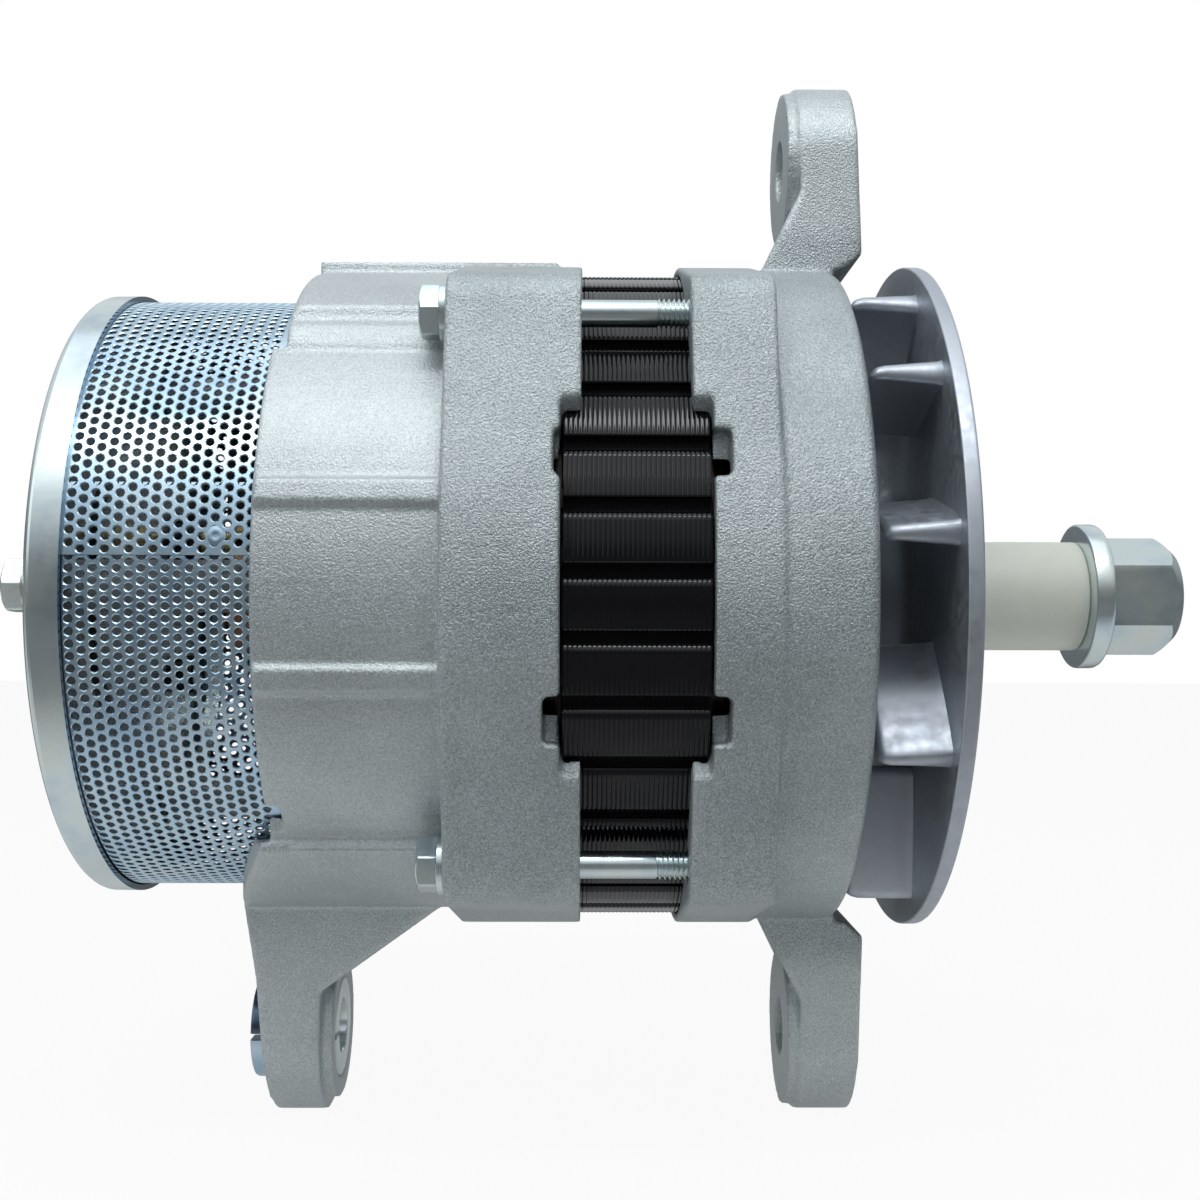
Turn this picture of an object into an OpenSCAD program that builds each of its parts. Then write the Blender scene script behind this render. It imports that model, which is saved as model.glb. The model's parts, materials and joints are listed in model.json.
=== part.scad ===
// Engine alternator with a two-ear hinge mount and an adjusting ear.
// The rotor axis lies along X with the drive end at +X. The modules are written
// about the rotor axis, with X = 0 at the middle of the stator core, and
// in_part_frame() moves them so that the origin is at the front pivot bore.

/* [Hinge and adjusting ear] */
// Distance from the pivot axis up to the rotor axis
pivot_drop = 100.5; // [98:0.5:106]
// Gap between the facing ends of the two hinge ears
ear_gap = 101.6; // [98:0.2:104]
// Bore for the hinge bolt
pivot_bore_d = 12.9; // [12.7:0.1:14]
// Outside diameter of the sliding bush in the rear ear
bush_d = 23; // [20:0.5:25]
// Length of the sliding bush
bush_l = 19.4; // [17:0.2:22]
// Width of every ear
ear_w = 37; // [34:0.5:40]
// Thickness of the front ears
front_ear_t = 13; // [11:0.5:14]
// Thickness of the rear ear at its tip
rear_ear_t = 11.3; // [9:0.5:13]
// Height that a machined boss stands proud of its ear
boss_h = 2.5; // [1:0.5:3]
// Distance from the rotor axis up to the adjusting hole
adjust_rise = 100.5; // [98:0.5:106]
// Bore of the adjusting ear
adjust_bore_d = 13; // [10:0.5:14]
// Thickness of the two side ribs that brace each ear
ear_rib_t = 6; // [4:0.5:8]

/* [Stator] */
// Outside diameter of the laminated core
core_d = 146.4; // [144:0.2:147]
// Length of the laminated core
core_l = 28.2; // [26:0.2:32]
// Bore of the core
core_bore_d = 104.8; // [103:0.2:106]
// Number of winding slots
slots = 36; // [36:12:48]
// Width of one winding slot
slot_w = 4.4; // [3:0.2:5]
// Depth of one winding slot
slot_depth = 13; // [10:0.5:15]
// Width of one cooling groove on the outside of the core
groove_w = 3.6; // [2:0.2:5]
// Depth of one cooling groove
groove_depth = 1.6; // [1:0.2:2.4]
// Length of the end turns beyond each face of the core
end_turn_l = 15.5; // [12:0.5:17]

/* [Castings] */
// How far each casting reaches over the core
clamp_overlap = 3.45; // [2:0.05:6]
// Outside diameter of the clamp rings
ring_d = 150.6; // [150:0.2:153]
// Wall between the core and the inside of the clamp rings
shoulder_h = 3.7; // [3:0.1:4.5]
// Diameter of the through bolts' circle
bolt_circle_d = 155.2; // [154.6:0.2:157]
// Radius of the lobes round the through bolts
lobe_r = 8; // [7:0.5:9]
// Length of the rear clamp ring
rear_ring_l = 26.7; // [24:0.1:30]
// Length of the front clamp ring
front_ring_l = 16.9; // [15:0.1:20]
// Length of the front casting beyond its clamp ring
front_body_l = 18.2; // [17:0.1:20]
// Outside diameter of the front casting beyond its clamp ring
front_body_d = 148.8; // [147:0.2:150]
// Length of the rear casting behind its clamp ring
rear_body_l = 36.3; // [34:0.1:39]
// Outside diameter of the rear casting
rear_body_d = 138.6; // [138:0.2:142]
// Width of the upper saddle of the rear casting where it meets the body
saddle_w = 99.4; // [98:0.2:100]
// Width of the upper saddle where its walls meet the round top
saddle_top_w = 89.6; // [86:0.2:91]
// Outside diameter of the upper saddle
saddle_d = 147.4; // [146:0.2:149]
// Outside diameter of the lower saddle
lower_saddle_d = 144; // [143:0.2:147]
// Radius of the edge at the rear of each saddle
shoulder_r = 2.5; // [1:0.5:5]
// Distance of the upper saddle's rear end from the end of the casting
saddle_set_in = 3; // [1:0.1:4]
// How far the lower saddle reaches behind the end of the casting, to carry the rear ear
lug_reach = 11.7; // [8:0.1:13]
// Radius of the lug's rear face, seen from below
lug_corner_r = 78; // [60:1:90]
// Wall of the castings
wall_t = 4; // [3.5:0.1:4.4]
// Half height of the side openings, measured on the core
window_half = 33.5; // [30:0.5:36]
// How far the openings' edges stand clear of the core's faces
window_gap = 0.5; // [0.2:0.1:1.5]
// Height of the notches in the openings' edges
notch_h = 9; // [6:0.5:11]
// Distance of the notches' middle from the rotor axis
notch_rise = 25.4; // [23:0.2:27]
// Depth of the notches
notch_depth = 3.3; // [2:0.1:5]
// Width of the ribs along the rear casting
body_rib_w = 5; // [3:0.5:7]
// Height of the ribs along the rear casting
body_rib_h = 1.2; // [0.6:0.1:2]
// Angle of the ribs from the horizontal plane through the rotor axis
body_rib_angle = 15; // [12:1:25]
// Number of sectors with air windows in each end wall
air_windows = 9; // [9:1:9]

/* [Screen and rear cover] */
// Length of the screen that shows
screen_l = 36.2; // [30:0.2:40]
// Outside diameter of the screen
screen_d = 134.2; // [133:0.2:135]
// Thickness of the screen's sheet
screen_t = 0.9; // [0.7:0.1:1.2]
// Number of columns of openings round the screen, which stand for its fine holes
screen_columns = 12; // [8:2:12]
// Number of rows of openings along the screen
screen_rows = 4; // [2:1:4]
// Share of the screen's length and girth that is open
screen_open = 0.66; // [0.5:0.01:0.7]
// Length of the screen that is tucked into the rear casting
screen_tuck = 5; // [3:0.5:7]
// Thickness of the cover's sheet
cover_t = 1.2; // [1:0.1:1.6]
// Width of the cover's rim
cover_rim_w = 5.6; // [4:0.2:8]
// Depth of the cover beyond its rim
cover_crown = 1.7; // [1:0.1:2.5]
// Diameter of the cover bolts' circle
cover_bolt_circle_d = 117; // [114:1:119]
// Number of cover bolts
cover_bolt_count = 3; // [3:1:3]

/* [Bolts] */
// Outside diameter of the through bolts and cover bolts
bolt_d = 5.9; // [5:0.1:6.2]
// Width across the flats of their heads
bolt_af = 10; // [9:0.5:11]
// Height of their heads
bolt_head_h = 4.2; // [3.5:0.1:5]
// Thickness of their washers
washer_t = 1.4; // [1:0.1:1.8]
// Clearance round a bolt in its hole, on the radius
bolt_clearance = 0.35; // [0.2:0.05:0.6]

/* [Rotor] */
// Radial air gap between the rotor and the core
air_gap = 0.4; // [0.3:0.05:0.6]
// Number of fingers on each pole piece
fingers = 6; // [6:1:8]
// Thickness of each pole piece's disc
pole_disc_t = 11; // [9:0.5:12]
// Length of the rotor over both pole pieces
rotor_l = 48; // [46:0.5:49]
// Outside diameter of the field coil
coil_d = 76; // [70:1:78]
// Diameter of the shaft under the pulley
pulley_seat_d = 22.2; // [20:0.1:23]
// Diameter of the shaft's thread
shaft_thread_d = 15.8; // [14:0.1:17]
// Diameter of the slip rings
slip_ring_d = 28; // [26:1:32]
// Width of each slip ring
slip_ring_w = 8; // [7:0.5:9]

/* [Bearings] */
// Bore of the front bearing
front_bearing_bore = 25; // [25:1:27]
// Outside diameter of the front bearing
front_bearing_d = 62; // [60:1:64]
// Width of the front bearing
front_bearing_w = 17; // [15:0.5:17]
// Bore of the rear bearing
rear_bearing_bore = 17; // [17:1:18]
// Outside diameter of the rear bearing
rear_bearing_d = 40; // [39:1:42]
// Width of the rear bearing
rear_bearing_w = 12; // [11:0.5:12]

/* [Fan] */
// Outside diameter of the fan's disc
fan_d = 151.2; // [148:0.2:154]
// Thickness of the fan's disc
fan_disc_t = 3.2; // [2.5:0.1:4]
// Diameter over the blade tips
blade_tip_d = 143.6; // [140:0.2:146]
// Diameter of the blades' inner ends
blade_root_d = 90; // [84:1:96]
// Length of the blades along the shaft
blade_l = 14.3; // [12:0.1:15]
// Blade thickness at the disc
blade_base_t = 5; // [4:0.2:6]
// Blade thickness at its free edge
blade_edge_t = 3; // [2:0.2:3.8]
// Angle by which a blade's inner end leads its tip
blade_sweep = 14; // [8:1:18]
// Clearance between the blades and the front casting
fan_clearance = 1.5; // [1:0.1:4]

/* [Shaft end] */
// Outside diameter of the protective sleeve
sleeve_d = 25.5; // [25:0.1:28]
// Length of the protective sleeve
sleeve_l = 40.7; // [38:0.1:60]
// Outside diameter of the shaft washer
shaft_washer_d = 33.9; // [30:0.1:38]
// Thickness of the shaft washer
shaft_washer_t = 4.8; // [3:0.1:6]
// Width across the flats of the shaft nut
nut_af = 24; // [22:0.5:27]
// Height of the shaft nut
nut_h = 17.6; // [14:0.1:20]

/* [Hidden] */
$fn = 96;
eps = 0.01;

casting = [0.77, 0.79, 0.79];
zinc = [0.74, 0.79, 0.80];
steel = [0.62, 0.63, 0.65];
black = [0.06, 0.06, 0.07];
copper = [0.72, 0.42, 0.25];
resin = [0.13, 0.12, 0.11];
ivory = [0.91, 0.90, 0.82];

// Small clearances, on the radius
press = 0.01;
slide = 0.03;
running = 0.05;

// Places along the rotor axis
core_half = core_l / 2;
ring_edge = core_half - clamp_overlap;
window_x = core_half + window_gap;
rear_seat_x = -(ring_edge + rear_ring_l);
rear_end_x = rear_seat_x - rear_body_l;
front_step_x = ring_edge + front_ring_l;
front_face_x = front_step_x + front_body_l;
cover_rim_x = rear_end_x - screen_l;
cover_face_x = cover_rim_x - cover_rim_w - cover_crown;
front_boss_x = 35.8;
rear_boss_x = front_boss_x - ear_gap;
front_ear_x = front_boss_x + boss_h;
rear_ear_x = rear_boss_x - boss_h;

// Radii
core_r = core_d / 2;
ring_r = ring_d / 2;
cavity_r = core_r - shoulder_h;
bolt_r = bolt_d / 2;
bolt_pcr = bolt_circle_d / 2;
bolt_angles = [45, 135, 225, 315];
ear_r = ear_w / 2;
rotor_r = core_bore_d / 2 - air_gap;
lobe_turn = acos((ring_r - lobe_r) / bolt_pcr);

function dir(a) = [cos(a), sin(a)];

// Moves what is drawn about the rotor axis into the part's own frame
module in_part_frame() translate([-front_boss_x, 0, pivot_drop]) children();

// Extrudes a shape in the YZ plane from x0 to x1
module along_x(x0, x1) translate([x0, 0, 0]) rotate([90, 0, 90]) linear_extrude(x1 - x0) children();

// Extrudes a shape in the XZ plane by w, about Y = y
module across_y(w, y = 0) translate([0, y + w / 2, 0]) rotate([90, 0, 0]) linear_extrude(w) children();

// Revolves a profile of [radius, x] points about the rotor axis
module turned(points) rotate([90, 0, 90]) rotate_extrude() polygon(points);

// A ring between x0 and x1
module ring(x0, x1, r_out, r_in) turned([[r_in, x0], [r_out, x0], [r_out, x1], [r_in, x1]]);

// A rod along X at [y, z]
module rod(x0, x1, r, at = [0, 0]) translate([x0, at[0], at[1]]) rotate([0, 90, 0]) cylinder(h = x1 - x0, r = r);

// A hexagon along X at [y, z], with two corners on the Y axis when turn = 0
module hexagon(x0, x1, af, at = [0, 0], turn = 0)
    along_x(x0, x1) translate(at) rotate(turn) circle(r = af / sqrt(3), $fn = 6);

/* Castings */

// Circle with four lobes, joined by their common tangents
module clamp_outline() {
    circle(r = ring_r);
    for (a = bolt_angles) {
        translate(bolt_pcr * dir(a)) circle(r = lobe_r);
        polygon([ring_r * dir(a - lobe_turn), bolt_pcr * dir(a) + lobe_r * dir(a - lobe_turn),
            bolt_pcr * dir(a) + lobe_r * dir(a + lobe_turn), ring_r * dir(a + lobe_turn)]);
    }
}

// What is cut from a clamp ring's edge on both sides, between edge_x and deep_x
module side_window(edge_x, deep_x) {
    y_core = sqrt(core_r * core_r - window_half * window_half);
    reach = 20;
    x0 = min(edge_x, deep_x);
    for (side = [-1, 1])
        along_x(x0, x0 + abs(deep_x - edge_x))
            polygon([for (end = [[-1, -reach], [-1, reach], [1, reach], [1, -reach]])
                [side * (y_core + end[1]), end[0] * (window_half + end[1])]]);
}

// Four notches beyond the windows' edges
module window_notches(edge_x, depths) for (side = [-1, 1]) for (level = [0, 1]) {
    depth = depths[level];
    x0 = min(edge_x, edge_x + depth);
    translate([x0, side * core_r - lobe_r, (2 * level - 1) * notch_rise - notch_h / 2])
        cube([abs(depth), 2 * lobe_r, notch_h]);
}

// Air windows in an end wall, in the sectors that are listed
module air_window_set(x0, x1, r_in, r_out, share, sectors) for (i = sectors) {
    half = share * 180 / air_windows;
    rotate([(i + 0.5) * 360 / air_windows, 0, 0]) along_x(x0, x1)
        polygon([r_in * dir(-half), r_out * dir(-half), r_out * dir(half), r_in * dir(half)]);
}

// Outline of an ear in the YZ plane, from the rotor axis out to its hole
module ear_outline(rise) {
    translate([0, rise]) circle(r = ear_r);
    translate([-ear_r, cavity_r - 4]) square([ear_w, rise - cavity_r + 4]);
}

// An ear whose thickness follows a profile of [x, z] points
module ear(rise, profile) intersection() {
    along_x(-200, 200) ear_outline(rise);
    across_y(2 * ear_w) polygon(profile);
}

// Two ribs that brace an ear, each a profile of [x, z] points
module ear_ribs(profile) for (side = [-1, 1])
    across_y(ear_rib_t, side * (ear_r - ear_rib_t / 2)) polygon(profile);

ear_root = cavity_r + 1;
front_ear_face_x = front_ear_x + front_ear_t;

// Front ear that points up; the lower one is its mirror image
module front_ear(rise) {
    draft = 1;
    tip = rise + ear_r + 1;
    body_r = front_body_d / 2;
    ear(rise, [[front_ear_x, ear_root], [front_ear_x, tip], [front_ear_face_x - draft / 2, tip],
        [front_ear_face_x + draft, body_r + 2], [front_face_x + 3, body_r - 1.2], [front_face_x, body_r - 2],
        [front_face_x, ear_root]]);
    ear_ribs([[front_step_x + 1, body_r - 4], [front_ear_x + eps, rise - 10], [front_ear_x + 5, rise - 14],
        [front_ear_x + 5, body_r - 4]]);
    rod(front_boss_x, front_ear_x + 1, ear_r - 1, [0, rise]);
}

module front_housing() color(casting) difference() {
    body_r = front_body_d / 2;
    edge_r = 2;
    wall_x = front_face_x - 6.5;
    boss_r = front_bearing_d / 2 + 8;
    bearing_x = front_face_x - front_lip;
    union() {
        difference() {
            union() {
                along_x(ring_edge, front_step_x) clamp_outline();
                turned([[0, front_step_x - 1], [body_r, front_step_x - 1], [body_r, front_face_x - edge_r],
                    for (t = [15 : 15 : 90]) [body_r - edge_r + edge_r * cos(t), front_face_x - edge_r + edge_r * sin(t)],
                    [0, front_face_x]]);
                front_ear(adjust_rise);
                mirror([0, 0, 1]) front_ear(pivot_drop);
            }
            ring(-core_half, core_half, core_r + press, 0);
            ring(core_half - 1, wall_x, cavity_r, 0);
            side_window(ring_edge - 1, window_x);
            window_notches(window_x - 1, [notch_depth + 1, notch_depth + 1]);
            air_window_set(wall_x - 1, front_face_x + 1, boss_r + 5, cavity_r - 8, 0.72, [0 : air_windows - 1]);
        }
        ring(bearing_x - front_bearing_w, front_face_x, boss_r, front_bearing_d / 2 - 4);
        for (i = [0 : air_windows - 1]) rotate([i * 360 / air_windows, 0, 0])
            across_y(4) polygon([[bearing_x - front_bearing_w + 3, boss_r - 2], [wall_x - 2, cavity_r + 1],
                [wall_x + 1, cavity_r + 1], [wall_x + 1, boss_r - 2]]);
    }
    ring(-core_half, bearing_x, front_bearing_d / 2 + press, 0);
    ring(bearing_x - 1, front_face_x + 1, front_bearing_d / 2 - 4, 0);
    for (a = bolt_angles) rod(ring_edge - 1, bolt_tip_x + 1.5, bolt_r + press, bolt_pcr * dir(a));
    for (i = [0 : retainer_count - 1]) rod(retainer_x, bearing_x - 5, retainer_screw_r + press,
        retainer_pcr * dir(45 + i * 360 / retainer_count));
    rod(front_boss_x - 1, front_ear_face_x + 5, pivot_bore_d / 2, [0, -pivot_drop]);
    rod(front_boss_x - 1, front_ear_face_x + 5, adjust_bore_d / 2, [0, adjust_rise]);
}

// The rear end wall that carries the rear bearing
rear_wall_t = 5;
rear_wall_x = -(core_half + end_turn_l + 26);
post_r = 5.2;
post_angles = [for (i = [0 : cover_bolt_count - 1]) 60 + i * 360 / cover_bolt_count];
cover_inner_x = cover_face_x + cover_t;
saddle_r = saddle_d / 2;
saddle_end_x = rear_end_x + saddle_set_in;

lower_saddle_r = lower_saddle_d / 2;
// Flanks of the saddles, from the body outwards, as [half width, height]
upper_flank = [[saddle_w / 2, 30], [saddle_w / 2, 49.3], [saddle_w / 2 - 1.1, 52.2], [saddle_top_w / 2 + 2.5, 54.1],
    [saddle_top_w / 2 + 1.1, 54.9], [saddle_top_w / 2 + 0.6, 56], [saddle_top_w / 2, 60], [saddle_top_w / 2, saddle_d]];
lower_flank = [[53.2, 30], [53, 45], [50.4, 47.4], [48, 49], [47.4, 50.8], [48.5, 53], [48.5, saddle_d]];

// A saddle with a rounded edge at its rear end
module saddle(x_end, r, flank) intersection() {
    turned([[20, rear_seat_x + 1], [r, rear_seat_x + 1],
        for (t = [0 : 15 : 90]) [r - shoulder_r + shoulder_r * cos(t), x_end + shoulder_r - shoulder_r * sin(t)],
        [20, x_end]]);
    along_x(-200, 200) polygon(concat([for (p = flank) [-p[0], p[1]]], [for (i = [len(flank) - 1 : -1 : 0]) flank[i]]));
}

// Lug under the screen that joins the lower saddle to the rear ear
module rear_lug() {
    corner_y = 10;
    middle_x = rear_end_x - lug_reach + lug_corner_r;
    intersection() {
        ring(rear_end_x - lug_reach - 1, rear_seat_x - 8, lower_saddle_r, screen_d / 2 - 3);
        translate([0, 0, -lower_saddle_r - 5]) linear_extrude(45) {
            for (side = [-1, 1]) translate([middle_x, side * corner_y]) circle(r = lug_corner_r);
            translate([middle_x - lug_corner_r, -corner_y]) square([2 * lug_corner_r - 4, 2 * corner_y]);
        }
        translate([-200, -48, -saddle_d]) cube([400, 96, saddle_d - 51.5]);
    }
}

module rear_ear() {
    tip = pivot_drop + ear_r + 1;
    back = rear_ear_x - rear_ear_t;
    root = lower_saddle_r - 4;
    ear(pivot_drop, [[rear_ear_x, root], [rear_ear_x, tip], [back, tip],
        [back - 3, pivot_drop - 15], [back - 5.6, lower_saddle_r - 2], [back - 5.6, root]]);
    ear_ribs([[rear_ear_x - 5, lower_saddle_r - 5], [rear_seat_x - 4.5, lower_saddle_r - 5], [rear_seat_x - 3.8, lower_saddle_r - 2.4],
        [rear_ear_x - eps, pivot_drop - 11.5], [rear_ear_x - 5, pivot_drop - 15]]);
    rod(rear_ear_x - 1, rear_boss_x, ear_r - 2.5, [0, pivot_drop]);
}

module rear_housing() color(casting) difference() {
    body_r = rear_body_d / 2;
    hollow_r = body_r - wall_t;
    bearing_r = rear_bearing_d / 2;
    boss_r = bearing_r + 6;
    pad_w = 24;
    pad_rise = 1.9;
    wall_back = rear_wall_x - rear_wall_t;
    union() {
        difference() {
            union() {
                along_x(rear_seat_x, -ring_edge) clamp_outline();
                ring(rear_end_x, rear_seat_x + 1, body_r, 0);
                saddle(saddle_end_x, saddle_r, upper_flank);
                mirror([0, 0, 1]) saddle(saddle_end_x, lower_saddle_r, lower_flank);
                mirror([0, 0, 1]) rear_ear();
                rear_lug();
                for (side = [0, 180]) for (a = [-1, 1]) rotate([side + a * body_rib_angle, 0, 0])
                    translate([rear_end_x + 0.5, body_r - 1.2, -body_rib_w / 2])
                        cube([rear_body_l + 0.5, 1.2 + body_rib_h, body_rib_w]);
                translate([saddle_end_x + 0.4, -pad_w / 2, saddle_r - 4])
                    cube([-ring_edge - 6 - saddle_end_x, pad_w, 4 + pad_rise]);
                translate([saddle_end_x + 5, -pad_w / 2 + 0.5, saddle_r - 4])
                    cube([-ring_edge - 8 - saddle_end_x, pad_w - 1, 4 + pad_rise - 0.8]);
            }
            ring(-core_half, core_half, core_r + press, 0);
            ring(rear_seat_x + wall_t, -core_half + 1, cavity_r, 0);
            ring(rear_wall_x, rear_seat_x + wall_t + 1, hollow_r, 0);
            ring(rear_end_x - 15, wall_back, hollow_r, 0);
            ring(rear_end_x - 15, rear_end_x + screen_tuck, screen_d / 2 + slide, 0);
            translate([rear_end_x - 1, -saddle_w / 2 + 0.6, screen_d / 2 - 25]) cube([saddle_set_in + 1, saddle_w - 1.2, 40]);
            for (side = [-1, 1]) translate([rear_end_x - 1, side * 51 - 2.5, -58]) cube([saddle_set_in + 1, 5, 16]);
            side_window(-window_x, -ring_edge + 1);
            window_notches(-window_x + 1, [-notch_depth - 1, -notch_depth / 2.5 - 1]);
            air_window_set(wall_back - 1, rear_wall_x + 1, boss_r + 4, cover_bolt_circle_d / 2 - 8, 0.7, [0, 1, 3, 4, 5, 8]);
        }
        ring(wall_back - rear_bearing_w + 4, rear_wall_x, boss_r, bearing_r - 4);
        for (a = post_angles) {
            rod(cover_inner_x, wall_back + 1, post_r, cover_bolt_circle_d / 2 * dir(a));
            rotate([a, 0, 0]) translate([wall_back - 9, cover_bolt_circle_d / 2, -2.5])
                cube([10, hollow_r - cover_bolt_circle_d / 2 + 1, 5]);
        }
    }
    ring(rear_bearing_x - rear_bearing_w, rear_wall_x + 1, bearing_r + press, 0);
    ring(rear_bearing_x - rear_bearing_w - 20, rear_wall_x + 1, bearing_r - 3, 0);
    for (a = bolt_angles) rod(rear_seat_x - 1, -ring_edge + 1, bolt_r + bolt_clearance, bolt_pcr * dir(a));
    for (a = post_angles) rod(cover_inner_x - 1, cover_inner_x + 16, bolt_r + press, cover_bolt_circle_d / 2 * dir(a));
    for (a = sink_screw_angles) rod(wall_back - 1, rear_wall_x + 1, sink_screw_r + press, sink_pcr * dir(a));
    for (side = [-1, 1]) rod(wall_back - 1, wall_back + 4.3, regulator_screw_r + press, regulator_screw_at(side));
    rod(rear_boss_x - 60, rear_boss_x + 1, bush_d / 2 + slide, [0, -pivot_drop]);
}

// Split sliding bush that closes up on the engine's bracket
module pivot_bush() color(zinc) difference() {
    bevel = 1;
    r = bush_d / 2;
    translate([0, 0, -pivot_drop]) turned([[pivot_bore_d / 2, rear_boss_x - bush_l], [r - bevel, rear_boss_x - bush_l],
        [r, rear_boss_x - bush_l + bevel], [r, rear_boss_x], [pivot_bore_d / 2, rear_boss_x]]);
    translate([rear_boss_x - bush_l - 1, -bush_d, -pivot_drop - 0.75]) cube([bush_l + 2, bush_d, 1.5]);
}

/* Stator */

module stator_core() color(black) difference() {
    ring(-core_half, core_half, core_r, core_bore_d / 2);
    for (i = [0 : slots - 1]) rotate([(i + 0.5) * 360 / slots, 0, 0]) {
        translate([-core_half - 1, core_bore_d / 2 + 1.2, -slot_w / 2]) cube([core_l + 2, slot_depth, slot_w]);
        translate([-core_half - 1, core_bore_d / 2 - 1, -slot_w / 4]) cube([core_l + 2, 4, slot_w / 2]);
    }
    for (i = [0 : slots - 1]) rotate([i * 360 / slots + 3.5, 0, 0])
        translate([-core_half - 1, core_r - groove_depth, -groove_w / 2])
            cube([core_l + 2, groove_depth + 1, groove_w]);
}

slot_bottom_r = core_bore_d / 2 + 1.2 + slot_depth;
coil_side_r = core_bore_d / 2 + 2.6;

// Coil sides in the slots, joined by a rounded bundle of end turns at each face
module stator_winding() color(copper) {
    turn_r = slot_bottom_r - 1.2;
    for (side = [0, 1]) mirror([side, 0, 0])
        turned([[coil_side_r, core_half + 0.3], [turn_r, core_half + 0.3], [turn_r + 0.6, core_half + end_turn_l - 5],
            for (t = [0 : 30 : 180])
                [(coil_side_r + turn_r) / 2 + (turn_r - coil_side_r) / 2 * cos(t), core_half + end_turn_l - 4 + 4 * sin(t)],
            [coil_side_r - 0.6, core_half + end_turn_l - 5]]);
    for (i = [0 : slots - 1]) rotate([(i + 0.5) * 360 / slots, 0, 0])
        translate([-core_half - 0.4, coil_side_r, -slot_w / 2 + 0.3])
            cube([core_l + 0.8, slot_bottom_r - coil_side_r - 0.3, slot_w - 0.6]);
}

// Strips that close the mouths of the slots
module slot_wedges() color(resin) for (i = [0 : slots - 1]) rotate([(i + 0.5) * 360 / slots, 0, 0])
    translate([-core_half - 0.2, core_bore_d / 2 + 1.25, -slot_w / 2 + 0.1]) cube([core_l + 0.4, 1.2, slot_w - 0.2]);

/* Bolts */

bolt_tip_x = front_step_x - 3;
head_x = rear_seat_x - washer_t;

// A hexagon head with a bevelled outer face towards -X
module bolt_head(x, at, turn) intersection() {
    hexagon(x - bolt_head_h, x, bolt_af, at, turn);
    translate([0, at[0], at[1]]) turned([[0, x + 1], [bolt_af, x + 1], [bolt_af, x - bolt_head_h + 2.2],
        [bolt_af / 2 - 0.1, x - bolt_head_h], [0, x - bolt_head_h]]);
}

module through_bolts() color(zinc) for (i = [0 : len(bolt_angles) - 1]) {
    at = bolt_pcr * dir(bolt_angles[i]);
    bolt_head(head_x, at, 30 * i + 12);
    rod(head_x - 1, bolt_tip_x - 20, bolt_r - 0.3, at);
    rod(bolt_tip_x - 21, bolt_tip_x, bolt_r, at);
}

module through_bolt_washers() color(zinc) for (a = bolt_angles) difference() {
    at = bolt_pcr * dir(a);
    rod(rear_seat_x - washer_t, rear_seat_x, bolt_af / 2 + 0.9, at);
    rod(rear_seat_x - washer_t - 1, rear_seat_x + 1, bolt_r + 0.2, at);
}

module cover_bolts() color(zinc) for (i = [0 : len(post_angles) - 1]) {
    at = cover_bolt_circle_d / 2 * dir(post_angles[i]);
    bolt_head(cover_face_x - washer_t, at, 20 * i + 10);
    rod(cover_face_x - washer_t - 1, cover_inner_x + 14, bolt_r, at);
}

module cover_bolt_washers() color(zinc) for (a = post_angles) difference() {
    at = cover_bolt_circle_d / 2 * dir(a);
    rod(cover_face_x - washer_t, cover_face_x, bolt_af / 2 + 0.9, at);
    rod(cover_face_x - washer_t - 1, cover_face_x + 1, bolt_r + 0.2, at);
}

/* Bearings */

front_lip = 1.5;
retainer_t = 2.4;
retainer_count = 4;
retainer_screw_r = 2;
retainer_pcr = front_bearing_d / 2 + 4.2;
front_bearing_x = front_face_x - front_lip;
retainer_x = front_bearing_x - front_bearing_w;
rear_bearing_x = rear_wall_x;
front_ball_r = 5.4;
rear_ball_r = 3.4;
front_ball_count = 8;
rear_ball_count = 9;

// Ball bearing pieces: x is the face towards +X
module race(x, w, bore, od, ball_r, outer) {
    mid_r = (bore + od) / 4;
    land = 0.45 * ball_r;
    groove = ball_r + running;
    r0 = outer ? mid_r + land : bore / 2 + press;
    r1 = outer ? od / 2 : mid_r - land;
    difference() {
        ring(x - w, x, r1, r0);
        rotate([90, 0, 90]) rotate_extrude() translate([mid_r, x - w / 2]) circle(r = groove, $fn = 48);
    }
}

module balls(x, w, bore, od, ball_r, count) for (i = [0 : count - 1]) rotate([i * 360 / count, 0, 0])
    translate([x - w / 2, (bore + od) / 4, 0]) sphere(r = ball_r, $fn = 32);

module cage(x, w, bore, od, ball_r, count) difference() {
    mid_r = (bore + od) / 4;
    ring(x - w / 2 - ball_r - 0.6, x - w / 2 + ball_r + 0.6, mid_r + 0.3 * ball_r, mid_r - 0.3 * ball_r);
    for (i = [0 : count - 1]) rotate([i * 360 / count, 0, 0])
        translate([x - w / 2, mid_r - ball_r, 0]) rotate([-90, 0, 0]) cylinder(h = 2 * ball_r, r = ball_r + running);
}

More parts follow.
